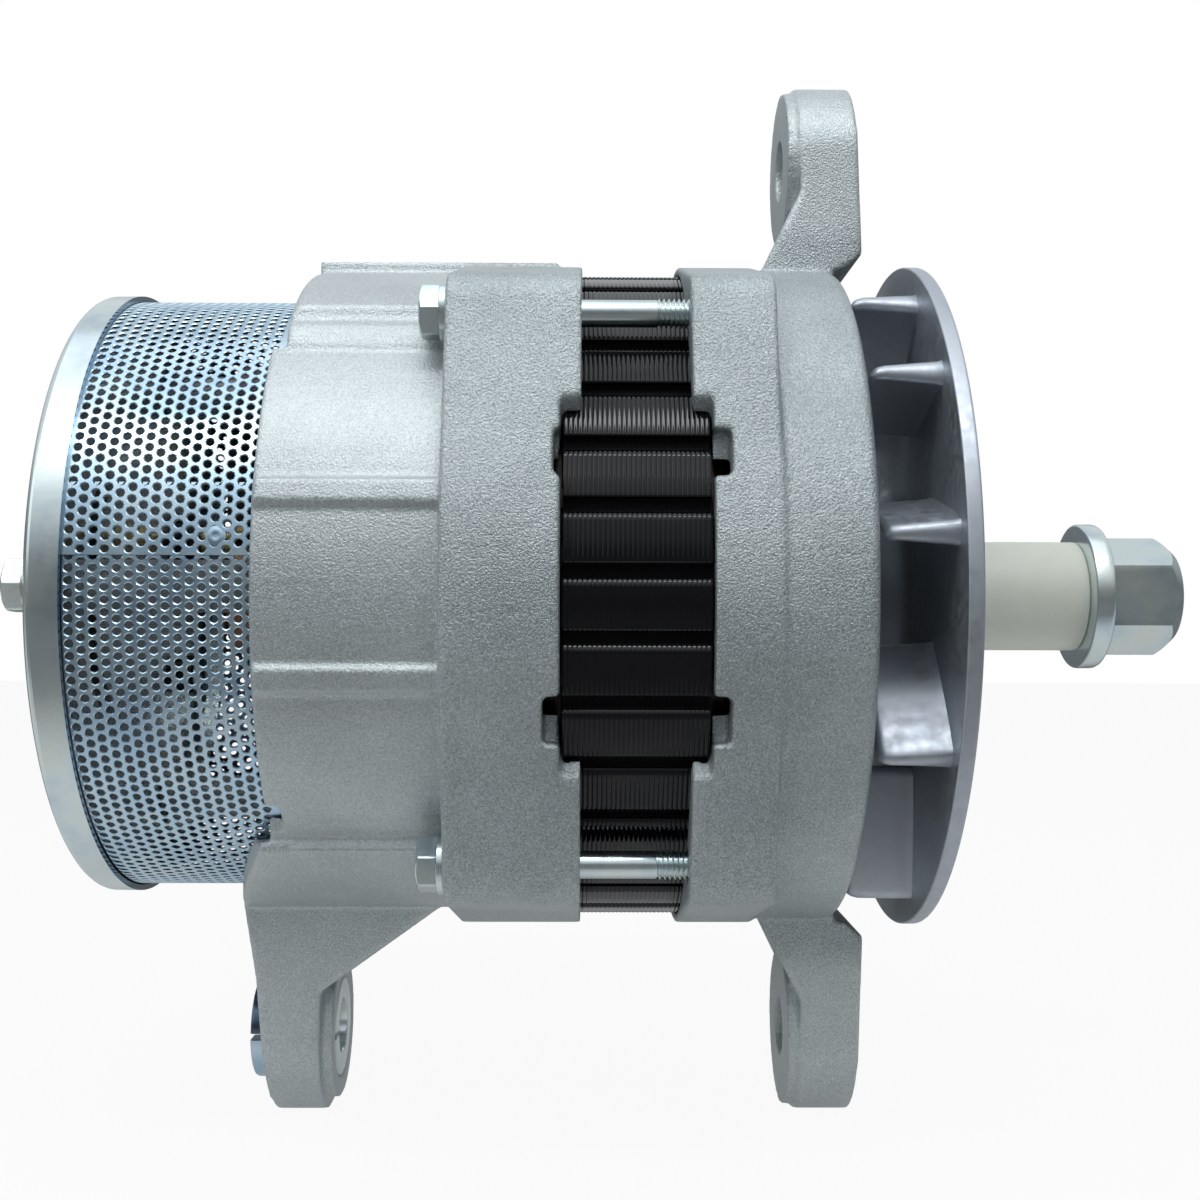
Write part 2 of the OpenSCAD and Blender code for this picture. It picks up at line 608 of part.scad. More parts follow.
module front_bearing_outer_ring() color(steel)
    race(front_bearing_x, front_bearing_w, front_bearing_bore, front_bearing_d, front_ball_r, true);
module front_bearing_inner_ring() color(steel)
    race(front_bearing_x, front_bearing_w, front_bearing_bore, front_bearing_d, front_ball_r, false);
module front_bearing_balls() color(steel)
    balls(front_bearing_x, front_bearing_w, front_bearing_bore, front_bearing_d, front_ball_r, front_ball_count);
module front_bearing_cage() color(copper)
    cage(front_bearing_x, front_bearing_w, front_bearing_bore, front_bearing_d, front_ball_r, front_ball_count);
module rear_bearing_outer_ring() color(steel)
    race(rear_bearing_x, rear_bearing_w, rear_bearing_bore, rear_bearing_d, rear_ball_r, true);
module rear_bearing_inner_ring() color(steel)
    race(rear_bearing_x, rear_bearing_w, rear_bearing_bore, rear_bearing_d, rear_ball_r, false);
module rear_bearing_balls() color(steel)
    balls(rear_bearing_x, rear_bearing_w, rear_bearing_bore, rear_bearing_d, rear_ball_r, rear_ball_count);
module rear_bearing_cage() color(copper)
    cage(rear_bearing_x, rear_bearing_w, rear_bearing_bore, rear_bearing_d, rear_ball_r, rear_ball_count);

module bearing_retainer() color(zinc) difference() {
    ring(retainer_x - retainer_t, retainer_x, front_bearing_d / 2 + 8, collar_r + 1.5);
    for (i = [0 : retainer_count - 1]) {
        at = retainer_pcr * dir(45 + i * 360 / retainer_count);
        rod(retainer_x - retainer_t - 1, retainer_x + 1, retainer_screw_r + 0.2, at);
        translate([0, at[0], at[1]]) turned([[0, retainer_x - retainer_t - eps], [4.1, retainer_x - retainer_t - eps],
            [2.1, retainer_x - retainer_t + 2], [0, retainer_x - retainer_t + 2]]);
    }
}

module retainer_screws() color(zinc) for (i = [0 : retainer_count - 1]) {
    at = retainer_pcr * dir(45 + i * 360 / retainer_count);
    translate([0, at[0], at[1]]) turned([[0, retainer_x - retainer_t], [3.9, retainer_x - retainer_t],
        [retainer_screw_r, retainer_x - retainer_t + 1.9], [retainer_screw_r, retainer_x + 9], [0, retainer_x + 9]]);
}

/* Screen and rear cover */

module rear_screen() color(zinc) difference() {
    pitch = screen_l / screen_rows;
    w = PI * screen_d / screen_columns * screen_open;
    ring(cover_inner_x + cover_crown + 0.7, rear_end_x + screen_tuck, screen_d / 2, screen_d / 2 - screen_t);
    for (i = [0 : screen_columns / 2 - 1]) for (j = [0 : screen_rows - 1]) rotate([i * 360 / screen_columns, 0, 0])
        translate([cover_rim_x + (j + 0.5 - screen_open / 2) * pitch, -screen_d, -w / 2])
            cube([pitch * screen_open, 2 * screen_d, w]);
}

module rear_cover() color(zinc) difference() {
    rim_r = screen_d / 2 + slide + cover_t;
    bend = cover_crown + 0.6;
    shallow = 1.2;
    turned([[0, cover_face_x + shallow], [30, cover_face_x + shallow], [34, cover_face_x],
        for (t = [90 : -15 : 15]) [rim_r - bend + bend * cos(t), cover_face_x + bend - bend * sin(t)],
        [rim_r, cover_rim_x], [rim_r - cover_t, cover_rim_x], [rim_r - cover_t, cover_inner_x + bend],
        [rim_r - bend - 0.4, cover_inner_x], [34.5, cover_inner_x], [30.5, cover_inner_x + shallow],
        [0, cover_inner_x + shallow]]);
    for (a = post_angles) rod(cover_face_x - 1, cover_inner_x + 1, bolt_r + bolt_clearance,
        cover_bolt_circle_d / 2 * dir(a));
    rod(cover_face_x - 1, cover_inner_x + 3, output_hole_r, output_at);
    rod(cover_face_x - 1, cover_inner_x + 3, relay_hole_r, relay_at);
}

/* Rectifier, regulator and terminals */

wall_back_x = rear_wall_x - rear_wall_t;
sink_r_in = 31;
sink_r_out = 50;
sink_pcr = 34.5;
sink_screw_r = 2.4;
positive_screw_angles = [-40, 0, 40];
negative_screw_angles = [160, 200];
sink_screw_angles = concat(positive_screw_angles, negative_screw_angles);
sink_t = 4;
positive_x = wall_back_x - 13;
negative_x = wall_back_x - 1;
diode_r = 6.4;
diode_pcr = 43;
positive_diode_angles = [-52, -20, 52];
negative_diode_angles = [141, 180, 213];
output_at = 44 * dir(20);
output_hole_r = 7;
output_r = 4;
output_root_r = 3.6;
relay_at = [40, -20];
relay_hole_r = 5;
relay_r = 2.5;
relay_root_r = 2.2;

// Arc-shaped plate between two angles
module arc_plate(x0, x1, r_in, r_out, a0, a1) intersection() {
    ring(x0, x1, r_out, r_in);
    along_x(x0 - 1, x1 + 1) polygon([[0, 0], for (i = [0 : 8]) 2 * r_out * dir(a0 + (a1 - a0) * i / 8)]);
}

module positive_heat_sink() color(casting) difference() {
    union() {
        arc_plate(positive_x - sink_t, positive_x, sink_r_in, sink_r_out, -64, 64);
        rod(positive_x - sink_t - 4, positive_x - sink_t + 1, output_r + 4, output_at);
    }
    for (a = positive_screw_angles) rod(positive_x - sink_t - 1, positive_x + 1, sink_screw_r + press, sink_pcr * dir(a));
    for (a = positive_diode_angles) rod(positive_x - sink_t - 1, positive_x + 1, diode_r + press, diode_pcr * dir(a));
    rod(positive_x - sink_t - 5, positive_x + 1, output_root_r + press, output_at);
}

module negative_heat_sink() color(casting) difference() {
    arc_plate(negative_x - sink_t, wall_back_x, sink_r_in, sink_r_out, 130, 223);
    for (a = negative_screw_angles) rod(negative_x - sink_t - 1, negative_x + 2, sink_screw_r + press, sink_pcr * dir(a));
    for (a = negative_diode_angles) rod(negative_x - sink_t - 1, negative_x + 2, diode_r + press, diode_pcr * dir(a));
}

// A press-fit diode: cup, knurled band and lead
module diode(x, at, up) {
    rod(x - 6, x, diode_r, at);
    rod(x - 8, x - 5.5, diode_r - 1.6, at);
    rod(x - 13, x - 7, 0.9, at);
}

module positive_diodes() color(steel) for (a = positive_diode_angles) diode(positive_x, diode_pcr * dir(a));
module negative_diodes() color(steel) for (a = negative_diode_angles) diode(negative_x, diode_pcr * dir(a));

module heat_sink_insulators() color(resin) for (a = positive_screw_angles) difference() {
    rod(positive_x, wall_back_x, 5, sink_pcr * dir(a));
    rod(positive_x - 1, wall_back_x + 1, sink_screw_r + 0.1, sink_pcr * dir(a));
}

module heat_sink_screws() color(zinc) for (a = sink_screw_angles) {
    x = abs(a) < 90 ? positive_x - sink_t : negative_x - sink_t;
    hexagon(x - 3, x, 7, sink_pcr * dir(a));
    rod(x - 1, rear_wall_x - 0.5, sink_screw_r, sink_pcr * dir(a));
}

// Brush gear: the brushes run up and down on the slip rings
ring_gap = 3;
inboard_ring_x = rear_bearing_x - rear_bearing_w - 4;
outboard_ring_x = inboard_ring_x - slip_ring_w - ring_gap;
brush_w = 5.5;
brush_t = 8;
brush_l = 17;
spring_l = 11;
holder_wall = 2;
slip_r = slip_ring_d / 2;
holder_x0 = outboard_ring_x - slip_ring_w - 1.5;
holder_x1 = inboard_ring_x + 1.5;
holder_half = brush_t / 2 + holder_wall + 1.5;
holder_top = slip_r + running + brush_l + spring_l;

module brush_holder() color(resin) difference() {
    union() {
        translate([holder_x0, -holder_half, slip_r + 2.5]) cube([holder_x1 - holder_x0, 2 * holder_half, holder_top - slip_r - 2.5]);
        translate([holder_x0, -holder_half - 7, holder_top - 5]) cube([holder_x1 - holder_x0, 2 * holder_half + 14, 5]);
        for (side = [-1, 1]) translate([holder_x1 - 6, side * (holder_half + 3.5) - 3, holder_top - 5])
            cube([wall_back_x - holder_x1 + 6, 6, 5]);
    }
    for (x = [inboard_ring_x, outboard_ring_x]) translate([x - slip_ring_w / 2 - brush_w / 2 - slide, -brush_t / 2 - slide, slip_r])
        cube([brush_w + 2 * slide, brush_t + 2 * slide, holder_top]);
}

module brush_holder_lid() color(zinc) translate([holder_x0, -holder_half - 7, holder_top])
    cube([holder_x1 - holder_x0, 2 * holder_half + 14, 1.2]);

module brush(x) difference() {
    translate([x - slip_ring_w / 2 - brush_w / 2, -brush_t / 2, slip_r - 2]) cube([brush_w, brush_t, brush_l + 2]);
    ring(x - slip_ring_w - 1, x + 1, slip_r + running, 0);
}
module brush_a() color(black) brush(inboard_ring_x);
module brush_b() color(black) brush(outboard_ring_x);

// Spring shown as stacked coils between a brush and the lid
module brush_spring(x) {
    wire = 0.7;
    coils = 6;
    z0 = slip_r + brush_l;
    pitch = (holder_top - z0 - 2 * wire) / (coils - 1);
    for (i = [0 : coils - 1]) translate([x - slip_ring_w / 2, 0, z0 + wire + i * pitch])
        rotate_extrude() translate([1.9, 0]) circle(r = wire / 2 + 0.3, $fn = 16);
}
module brush_spring_a() color(steel) brush_spring(inboard_ring_x);
module brush_spring_b() color(steel) brush_spring(outboard_ring_x);

regulator_size = [11, 34, 14];
regulator_screw_r = 2;
regulator_z = -(rear_bearing_d / 2 + 7 + regulator_size[2]);
function regulator_screw_at(side) = [side * (regulator_size[1] / 2 + 4.5), regulator_z + 6.5];
module voltage_regulator() color(resin) {
    x0 = wall_back_x - regulator_size[0];
    translate([x0, -regulator_size[1] / 2, regulator_z]) cube(regulator_size);
    for (i = [0 : 3]) translate([x0 + 0.6 + i * 2.8, -regulator_size[1] / 2 + 2, regulator_z - 4]) cube([1.4, regulator_size[1] - 4, 5]);
    for (side = [-1, 1]) translate([wall_back_x - 4, side * (regulator_size[1] / 2 + 4.5) - 5, regulator_z + 2]) difference() {
        cube([4, 10, 9]);
        translate([-1, 5, 4.5]) rotate([0, 90, 0]) cylinder(h = 6, r = regulator_screw_r + 0.2);
    }
}
module regulator_screws() color(zinc) for (side = [-1, 1]) {
    at = regulator_screw_at(side);
    hexagon(wall_back_x - 7, wall_back_x - 4, 7, at);
    rod(wall_back_x - 5, wall_back_x + 4, regulator_screw_r, at);
}

stud_end_x = cover_face_x - 17;
module output_stud() color(copper) {
    rod(stud_end_x, cover_face_x - 9, output_r, output_at);
    rod(cover_face_x - 9, positive_x, output_root_r, output_at);
    hexagon(positive_x, positive_x + 4, 12, output_at);
}
module output_insulator() color(black) difference() {
    translate([0, output_at[0], output_at[1]]) turned([[output_root_r + 0.1, cover_face_x - 3], [output_hole_r + 4, cover_face_x - 3],
        [output_hole_r + 4, cover_face_x], [output_hole_r - 0.1, cover_face_x], [output_hole_r - 0.1, cover_inner_x + 6],
        [output_root_r + 0.1, cover_inner_x + 6]]);
}
module output_nuts() color(zinc) difference() {
    union() {
        hexagon(cover_face_x - 9, cover_face_x - 3, 13, output_at);
        hexagon(positive_x - sink_t - 9, positive_x - sink_t - 4, 13, output_at);
    }
    rod(cover_face_x - 20, positive_x, output_root_r + press, output_at);
}
module relay_stud() color(copper) {
    rod(cover_face_x - 11, cover_face_x - 6, relay_r, relay_at);
    rod(cover_face_x - 6, cover_inner_x + 8, relay_root_r, relay_at);
}
module relay_insulator() color(black) difference() {
    translate([0, relay_at[0], relay_at[1]]) turned([[relay_root_r + press, cover_face_x - 2], [relay_hole_r + 2.5, cover_face_x - 2],
        [relay_hole_r + 2.5, cover_face_x], [relay_hole_r - 0.1, cover_face_x], [relay_hole_r - 0.1, cover_inner_x + 5],
        [relay_root_r + press, cover_inner_x + 5]]);
}
module relay_nuts() color(zinc) difference() {
    union() {
        hexagon(cover_face_x - 6, cover_face_x - 2, 8, relay_at);
        hexagon(cover_inner_x + 5, cover_inner_x + 8, 8, relay_at);
    }
    rod(cover_face_x - 20, cover_inner_x + 20, relay_root_r + press, relay_at);
}

capacitor_at = 48.3 * dir(119);
module suppression_capacitor() color(casting) rod(wall_back_x - 24, wall_back_x, 7, capacitor_at);
module capacitor_strap() color(zinc) difference() {
    rod(wall_back_x - 14, wall_back_x - 8, 8, capacitor_at);
    rod(wall_back_x - 30, wall_back_x + 1, 7, capacitor_at);
}

/* Rotor */

collar_r = 16.5;
rotor_half = rotor_l / 2;
shaft_r = front_bearing_bore / 2;
seat_r = pulley_seat_d / 2;
fan_hub_x = front_bearing_x + 6;
fan_back_x = front_face_x + fan_clearance + blade_l;
fan_front_x = fan_back_x + fan_disc_t;
sleeve_end_x = fan_front_x + sleeve_l;
washer_end_x = sleeve_end_x + shaft_washer_t;
nut_end_x = washer_end_x + nut_h;

module rotor_shaft() color(steel) {
    tail_x = outboard_ring_x - slip_ring_w - 2;
    turned([[0, tail_x], [rear_bearing_bore / 2, tail_x], [rear_bearing_bore / 2, rear_bearing_x], [11.5, rear_bearing_x],
        [11.5, -rotor_half], [shaft_r, -rotor_half], [shaft_r, rotor_half], [collar_r, rotor_half],
        [collar_r, retainer_x], [shaft_r, retainer_x], [shaft_r, front_bearing_x], [seat_r, front_bearing_x],
        [seat_r, sleeve_end_x - 2], [shaft_thread_d / 2, sleeve_end_x - 2], [shaft_thread_d / 2, nut_end_x - 1.5],
        [shaft_thread_d / 2 - 1.2, nut_end_x - 0.3], [0, nut_end_x - 0.3]]);
}

// A claw pole piece whose fingers point to -X; the other is turned to face it
module claw_pole(turn) {
    pitch = 360 / fingers;
    base_w = 2 * PI * rotor_r / fingers * 0.485;
    tip_w = base_w * 0.36;
    finger_l = rotor_l - 3;
    disc_r = coil_d / 2 + 1.5;
    root_x = rotor_half - pole_disc_t + 0.5;
    hub = 22;
    difference() {
        union() {
            ring(rotor_half - pole_disc_t, rotor_half, disc_r, 0);
            ring(0, rotor_half, hub, 0);
            for (i = [0 : fingers - 1]) rotate([turn + i * pitch, 0, 0]) intersection() {
                turned([[hub + 8, root_x], [hub + 8, rotor_half], [rotor_r - 2.5, rotor_half], [rotor_r, rotor_half - 2.5],
                    [rotor_r, rotor_half - finger_l], [rotor_r - 4, rotor_half - finger_l], [disc_r - 1, root_x]]);
                translate([0, rotor_r + 10, 0]) rotate([90, 0, 0]) linear_extrude(rotor_r + 10 - hub)
                    polygon([[rotor_half, -base_w / 2], [rotor_half, base_w / 2], [rotor_half - pole_disc_t, base_w / 2],
                        [rotor_half - finger_l, tip_w / 2], [rotor_half - finger_l, -tip_w / 2],
                        [rotor_half - pole_disc_t, -base_w / 2]]);
            }
        }
        ring(-rotor_half, rotor_half + 1, shaft_r + press, 0);
    }
}
module front_pole() color(steel) claw_pole(0);
module rear_pole() color(steel) mirror([1, 0, 0]) claw_pole(180 / fingers);

bobbin_t = 1.2;
bobbin_x = rotor_half - pole_disc_t - 0.1;
module coil_bobbin() color(resin) turned([[22.1, -bobbin_x], [coil_d / 2, -bobbin_x], [coil_d / 2, -bobbin_x + bobbin_t],
    [22.1 + bobbin_t, -bobbin_x + bobbin_t], [22.1 + bobbin_t, bobbin_x - bobbin_t], [coil_d / 2, bobbin_x - bobbin_t],
    [coil_d / 2, bobbin_x], [22.1, bobbin_x]]);
module field_coil() color(copper)
    ring(-bobbin_x + bobbin_t, bobbin_x - bobbin_t, coil_d / 2 - 1, 22.1 + bobbin_t);

module slip_ring_inboard() color(copper) ring(inboard_ring_x - slip_ring_w, inboard_ring_x, slip_r, slip_r - 2.5);
module slip_ring_outboard() color(copper) ring(outboard_ring_x - slip_ring_w, outboard_ring_x, slip_r, slip_r - 2.5);
module slip_ring_insulator() color(resin)
    ring(outboard_ring_x - slip_ring_w - 1.5, rear_bearing_x - rear_bearing_w - 1, slip_r - 2.5, rear_bearing_bore / 2 + press);

/* Fan */

// Angles between the blades, repeated twice round the disc; uneven spacing keeps the fan quiet
blade_steps = [25, 30, 37, 42, 46];
first_blade = 117;
function blade_angle(i) = i == 0 ? first_blade : blade_angle(i - 1) + blade_steps[(i - 1) % 5];

// One straight stretch of a blade between two points in the YZ plane, thicker at the disc
module blade_stretch(a, b) {
    along = b - a;
    translate([0, a[0], a[1]]) rotate([atan2(along[1], along[0]), 0, 0]) across_y(norm(along) + 1, norm(along) / 2)
        polygon([[fan_back_x - blade_l, -blade_edge_t / 2], [fan_back_x - blade_l, blade_edge_t / 2],
            [fan_back_x + 1, blade_base_t / 2], [fan_back_x + 1, -blade_base_t / 2]]);
}

// A blade leans back from its tip to its inner end
module fan_blade() {
    tip_r = blade_tip_d / 2 - 0.5;
    root_r = blade_root_d / 2;
    middle = (tip_r + root_r) / 2 * dir(-blade_sweep * 0.42);
    blade_stretch(middle, tip_r * dir(0));
    blade_stretch(root_r * dir(-blade_sweep), middle);
}

module fan() color([0.62, 0.62, 0.64]) difference() {
    union() {
        turned([[0, fan_back_x], [fan_d / 2, fan_back_x], [fan_d / 2, fan_front_x - 0.4], [fan_d / 2 - 0.4, fan_front_x],
            [0, fan_front_x]]);
        turned([[0, fan_hub_x], [19, fan_hub_x], [24, fan_back_x + eps], [0, fan_back_x + eps]]);
        for (i = [0 : 9]) rotate([blade_angle(i), 0, 0]) fan_blade();
    }
    ring(fan_hub_x - 1, fan_front_x + 1, seat_r + press, 0);
}

module fan_spacer() color(steel) ring(front_bearing_x, fan_hub_x, 16, seat_r + press);

module shaft_sleeve() color(ivory) ring(fan_front_x, sleeve_end_x, sleeve_d / 2, seat_r + slide);

module shaft_washer() color(zinc) {
    r = shaft_washer_d / 2;
    bore = shaft_thread_d / 2 + 0.3;
    turned([[bore, sleeve_end_x], [r - 0.8, sleeve_end_x], [r, sleeve_end_x + 0.8], [r, washer_end_x - 1.4],
        [r - 1.4, washer_end_x], [bore, washer_end_x]]);
}

module shaft_nut() color(zinc) difference() {
    bevel = 3;
    intersection() {
        hexagon(washer_end_x, nut_end_x, nut_af, [0, 0], 30);
        turned([[0, washer_end_x - 1], [nut_af * 0.6, washer_end_x - 1], [nut_af * 0.6, nut_end_x - bevel],
            [nut_af / 2 - 0.2, nut_end_x], [0, nut_end_x]]);
    }
    rod(washer_end_x - 1, nut_end_x + 1, shaft_thread_d / 2 + press);
}

in_part_frame() front_housing();
in_part_frame() rear_housing();
in_part_frame() stator_core();
in_part_frame() stator_winding();
in_part_frame() slot_wedges();
in_part_frame() through_bolts();
in_part_frame() through_bolt_washers();
in_part_frame() pivot_bush();
in_part_frame() front_bearing_outer_ring();
in_part_frame() front_bearing_inner_ring();
in_part_frame() front_bearing_balls();
in_part_frame() front_bearing_cage();
in_part_frame() rear_bearing_outer_ring();
in_part_frame() rear_bearing_inner_ring();
in_part_frame() rear_bearing_balls();
in_part_frame() rear_bearing_cage();
in_part_frame() bearing_retainer();
in_part_frame() retainer_screws();
in_part_frame() rear_screen();
in_part_frame() rear_cover();
in_part_frame() cover_bolts();
in_part_frame() cover_bolt_washers();
in_part_frame() positive_heat_sink();
in_part_frame() negative_heat_sink();
in_part_frame() positive_diodes();
in_part_frame() negative_diodes();
in_part_frame() heat_sink_insulators();
in_part_frame() heat_sink_screws();
in_part_frame() voltage_regulator();
in_part_frame() regulator_screws();
in_part_frame() brush_holder();
in_part_frame() brush_holder_lid();
in_part_frame() brush_a();
in_part_frame() brush_b();
in_part_frame() brush_spring_a();
in_part_frame() brush_spring_b();
in_part_frame() output_stud();
in_part_frame() output_insulator();
in_part_frame() output_nuts();
in_part_frame() relay_stud();
in_part_frame() relay_insulator();
in_part_frame() relay_nuts();
in_part_frame() suppression_capacitor();
in_part_frame() capacitor_strap();
in_part_frame() rotor_shaft();
in_part_frame() front_pole();
in_part_frame() rear_pole();
in_part_frame() field_coil();
in_part_frame() coil_bobbin();
in_part_frame() slip_ring_inboard();
in_part_frame() slip_ring_outboard();
in_part_frame() slip_ring_insulator();
in_part_frame() fan();
in_part_frame() fan_spacer();
in_part_frame() shaft_sleeve();
in_part_frame() shaft_washer();
in_part_frame() shaft_nut();
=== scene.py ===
"""Looks of an engine alternator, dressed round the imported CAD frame.

Lengths of shapes are millimetres in the shaft's own frame: x along the rotor
axis from the middle of the stator core, y away from the viewed side, z up.
place() turns them into the part's frame in metres, which materials, lamps and
the floor use. Angles are degrees about the rotor axis, from +y towards +z, so
180 faces the viewed side.
"""
import json
import math

import bpy
import bmesh
import numpy as np
from mathutils import Matrix, Vector


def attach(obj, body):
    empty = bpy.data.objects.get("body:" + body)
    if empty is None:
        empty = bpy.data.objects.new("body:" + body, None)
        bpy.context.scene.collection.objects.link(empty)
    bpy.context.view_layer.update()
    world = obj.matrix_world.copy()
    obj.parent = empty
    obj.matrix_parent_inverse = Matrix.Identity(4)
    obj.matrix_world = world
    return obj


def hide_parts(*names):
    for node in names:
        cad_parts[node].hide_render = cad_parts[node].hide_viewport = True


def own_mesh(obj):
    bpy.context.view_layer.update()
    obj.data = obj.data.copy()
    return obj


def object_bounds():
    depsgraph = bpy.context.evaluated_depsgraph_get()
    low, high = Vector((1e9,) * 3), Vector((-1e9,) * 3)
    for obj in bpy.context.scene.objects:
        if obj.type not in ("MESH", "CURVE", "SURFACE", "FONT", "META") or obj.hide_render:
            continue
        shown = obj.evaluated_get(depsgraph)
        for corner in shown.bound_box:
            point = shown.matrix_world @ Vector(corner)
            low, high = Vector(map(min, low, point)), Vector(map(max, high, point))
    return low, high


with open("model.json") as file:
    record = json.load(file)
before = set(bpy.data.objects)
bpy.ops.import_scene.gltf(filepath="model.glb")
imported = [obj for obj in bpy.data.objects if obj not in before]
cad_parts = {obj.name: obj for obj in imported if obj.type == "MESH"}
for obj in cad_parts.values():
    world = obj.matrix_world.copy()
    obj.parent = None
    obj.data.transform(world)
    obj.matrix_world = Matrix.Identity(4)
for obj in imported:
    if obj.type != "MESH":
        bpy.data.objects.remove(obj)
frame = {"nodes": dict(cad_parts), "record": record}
cad_low, cad_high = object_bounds()
nodes = frame["nodes"]

HINGE_X = 35.8
PIVOT_DROP = 100.5


def place(x, y, z):
    """Shaft frame in millimetres to part frame in metres: (x - 35.8, y, z + 100.5) / 1000."""
    x, y, z = np.broadcast_arrays(np.asarray(x, float), y, z)
    return np.stack([x - HINGE_X, y, z + PIVOT_DROP], -1) / 1000


def turned(x, radius, turn, centre=(0, 0)):
    """Points at a radius and a turn in radians about a line along x:
    (x, cy + r cos a, cz + r sin a)."""
    return place(x, centre[0] + radius * np.cos(turn), centre[1] + radius * np.sin(turn))


def around(x, radius, angle):
    """Points at a radius and an angle in degrees about the rotor axis."""
    return turned(x, radius, np.radians(angle))


def spot(radius, angle):
    """One point (y, z) at a radius and an angle in degrees about the rotor axis."""
    return radius * math.cos(math.radians(angle)), radius * math.sin(math.radians(angle))


# Meshes


def shade(mesh, sharp):
    """Smooth shading, except across edges that turn by more than the sharp angle."""
    mesh.polygons.foreach_set("use_smooth", np.ones(len(mesh.polygons), bool))
    mesh.set_sharp_from_angle(angle=math.radians(sharp))


def grid_faces(rows, columns, wrap_rows=False, wrap_columns=False, first=0):
    """Quads between neighbours of a rows x columns grid of points."""
    i = np.arange(rows if wrap_rows else rows - 1)[:, None]
    j = np.arange(columns if wrap_columns else columns - 1)[None, :]
    i2, j2 = (i + 1) % rows, (j + 1) % columns
    corners = [i * columns + j, i2 * columns + j, i2 * columns + j2, i * columns + j2]
    return first + np.stack(corners, -1).reshape(-1, 4)


def joined(parts):
    """Several (points, faces) pairs as one pair, with the faces renumbered."""
    points, faces, count = [], [], 0
    for p, f in parts:
        p = p.reshape(-1, 3)
        points.append(p)
        faces.append(f + count)
        count += len(p)
    return np.concatenate(points), np.concatenate(faces)


def rounded(corners, radius, steps=4):
    """A polyline whose inner corners become arcs: each corner P turns into the quadratic
    curve (1-t)^2 A + 2t(1-t) P + t^2 B, where A and B lie the radius away along its edges."""
    c = np.asarray(corners, float)
    radius = np.broadcast_to(radius, len(c))
    out = [c[:1]]
    t = np.linspace(0, 1, steps + 1)[:, None]
    for k in range(1, len(c) - 1):
        back, ahead = c[k - 1] - c[k], c[k + 1] - c[k]
        lb, la = np.linalg.norm(back), np.linalg.norm(ahead)
        r = min(radius[k], 0.45 * lb, 0.45 * la)
        if r <= 0:
            out.append(c[k:k + 1])
            continue
        a, b = c[k] + back / lb * r, c[k] + ahead / la * r
        out.append((1 - t) ** 2 * a + 2 * t * (1 - t) * c[k] + t ** 2 * b)
    out.append(c[-1:])
    return np.concatenate(out)


def lathe(profile, segments, centre=(0, 0), closed=False):
    """Profile rows (x, r) turned about the line through centre."""
    x, r = np.asarray(profile, float).T[:, :, None]
    turn = np.linspace(0, 2 * np.pi, segments, endpoint=False)
    return turned(x, r, turn, centre), grid_faces(len(x), segments, closed, True)


# Materials


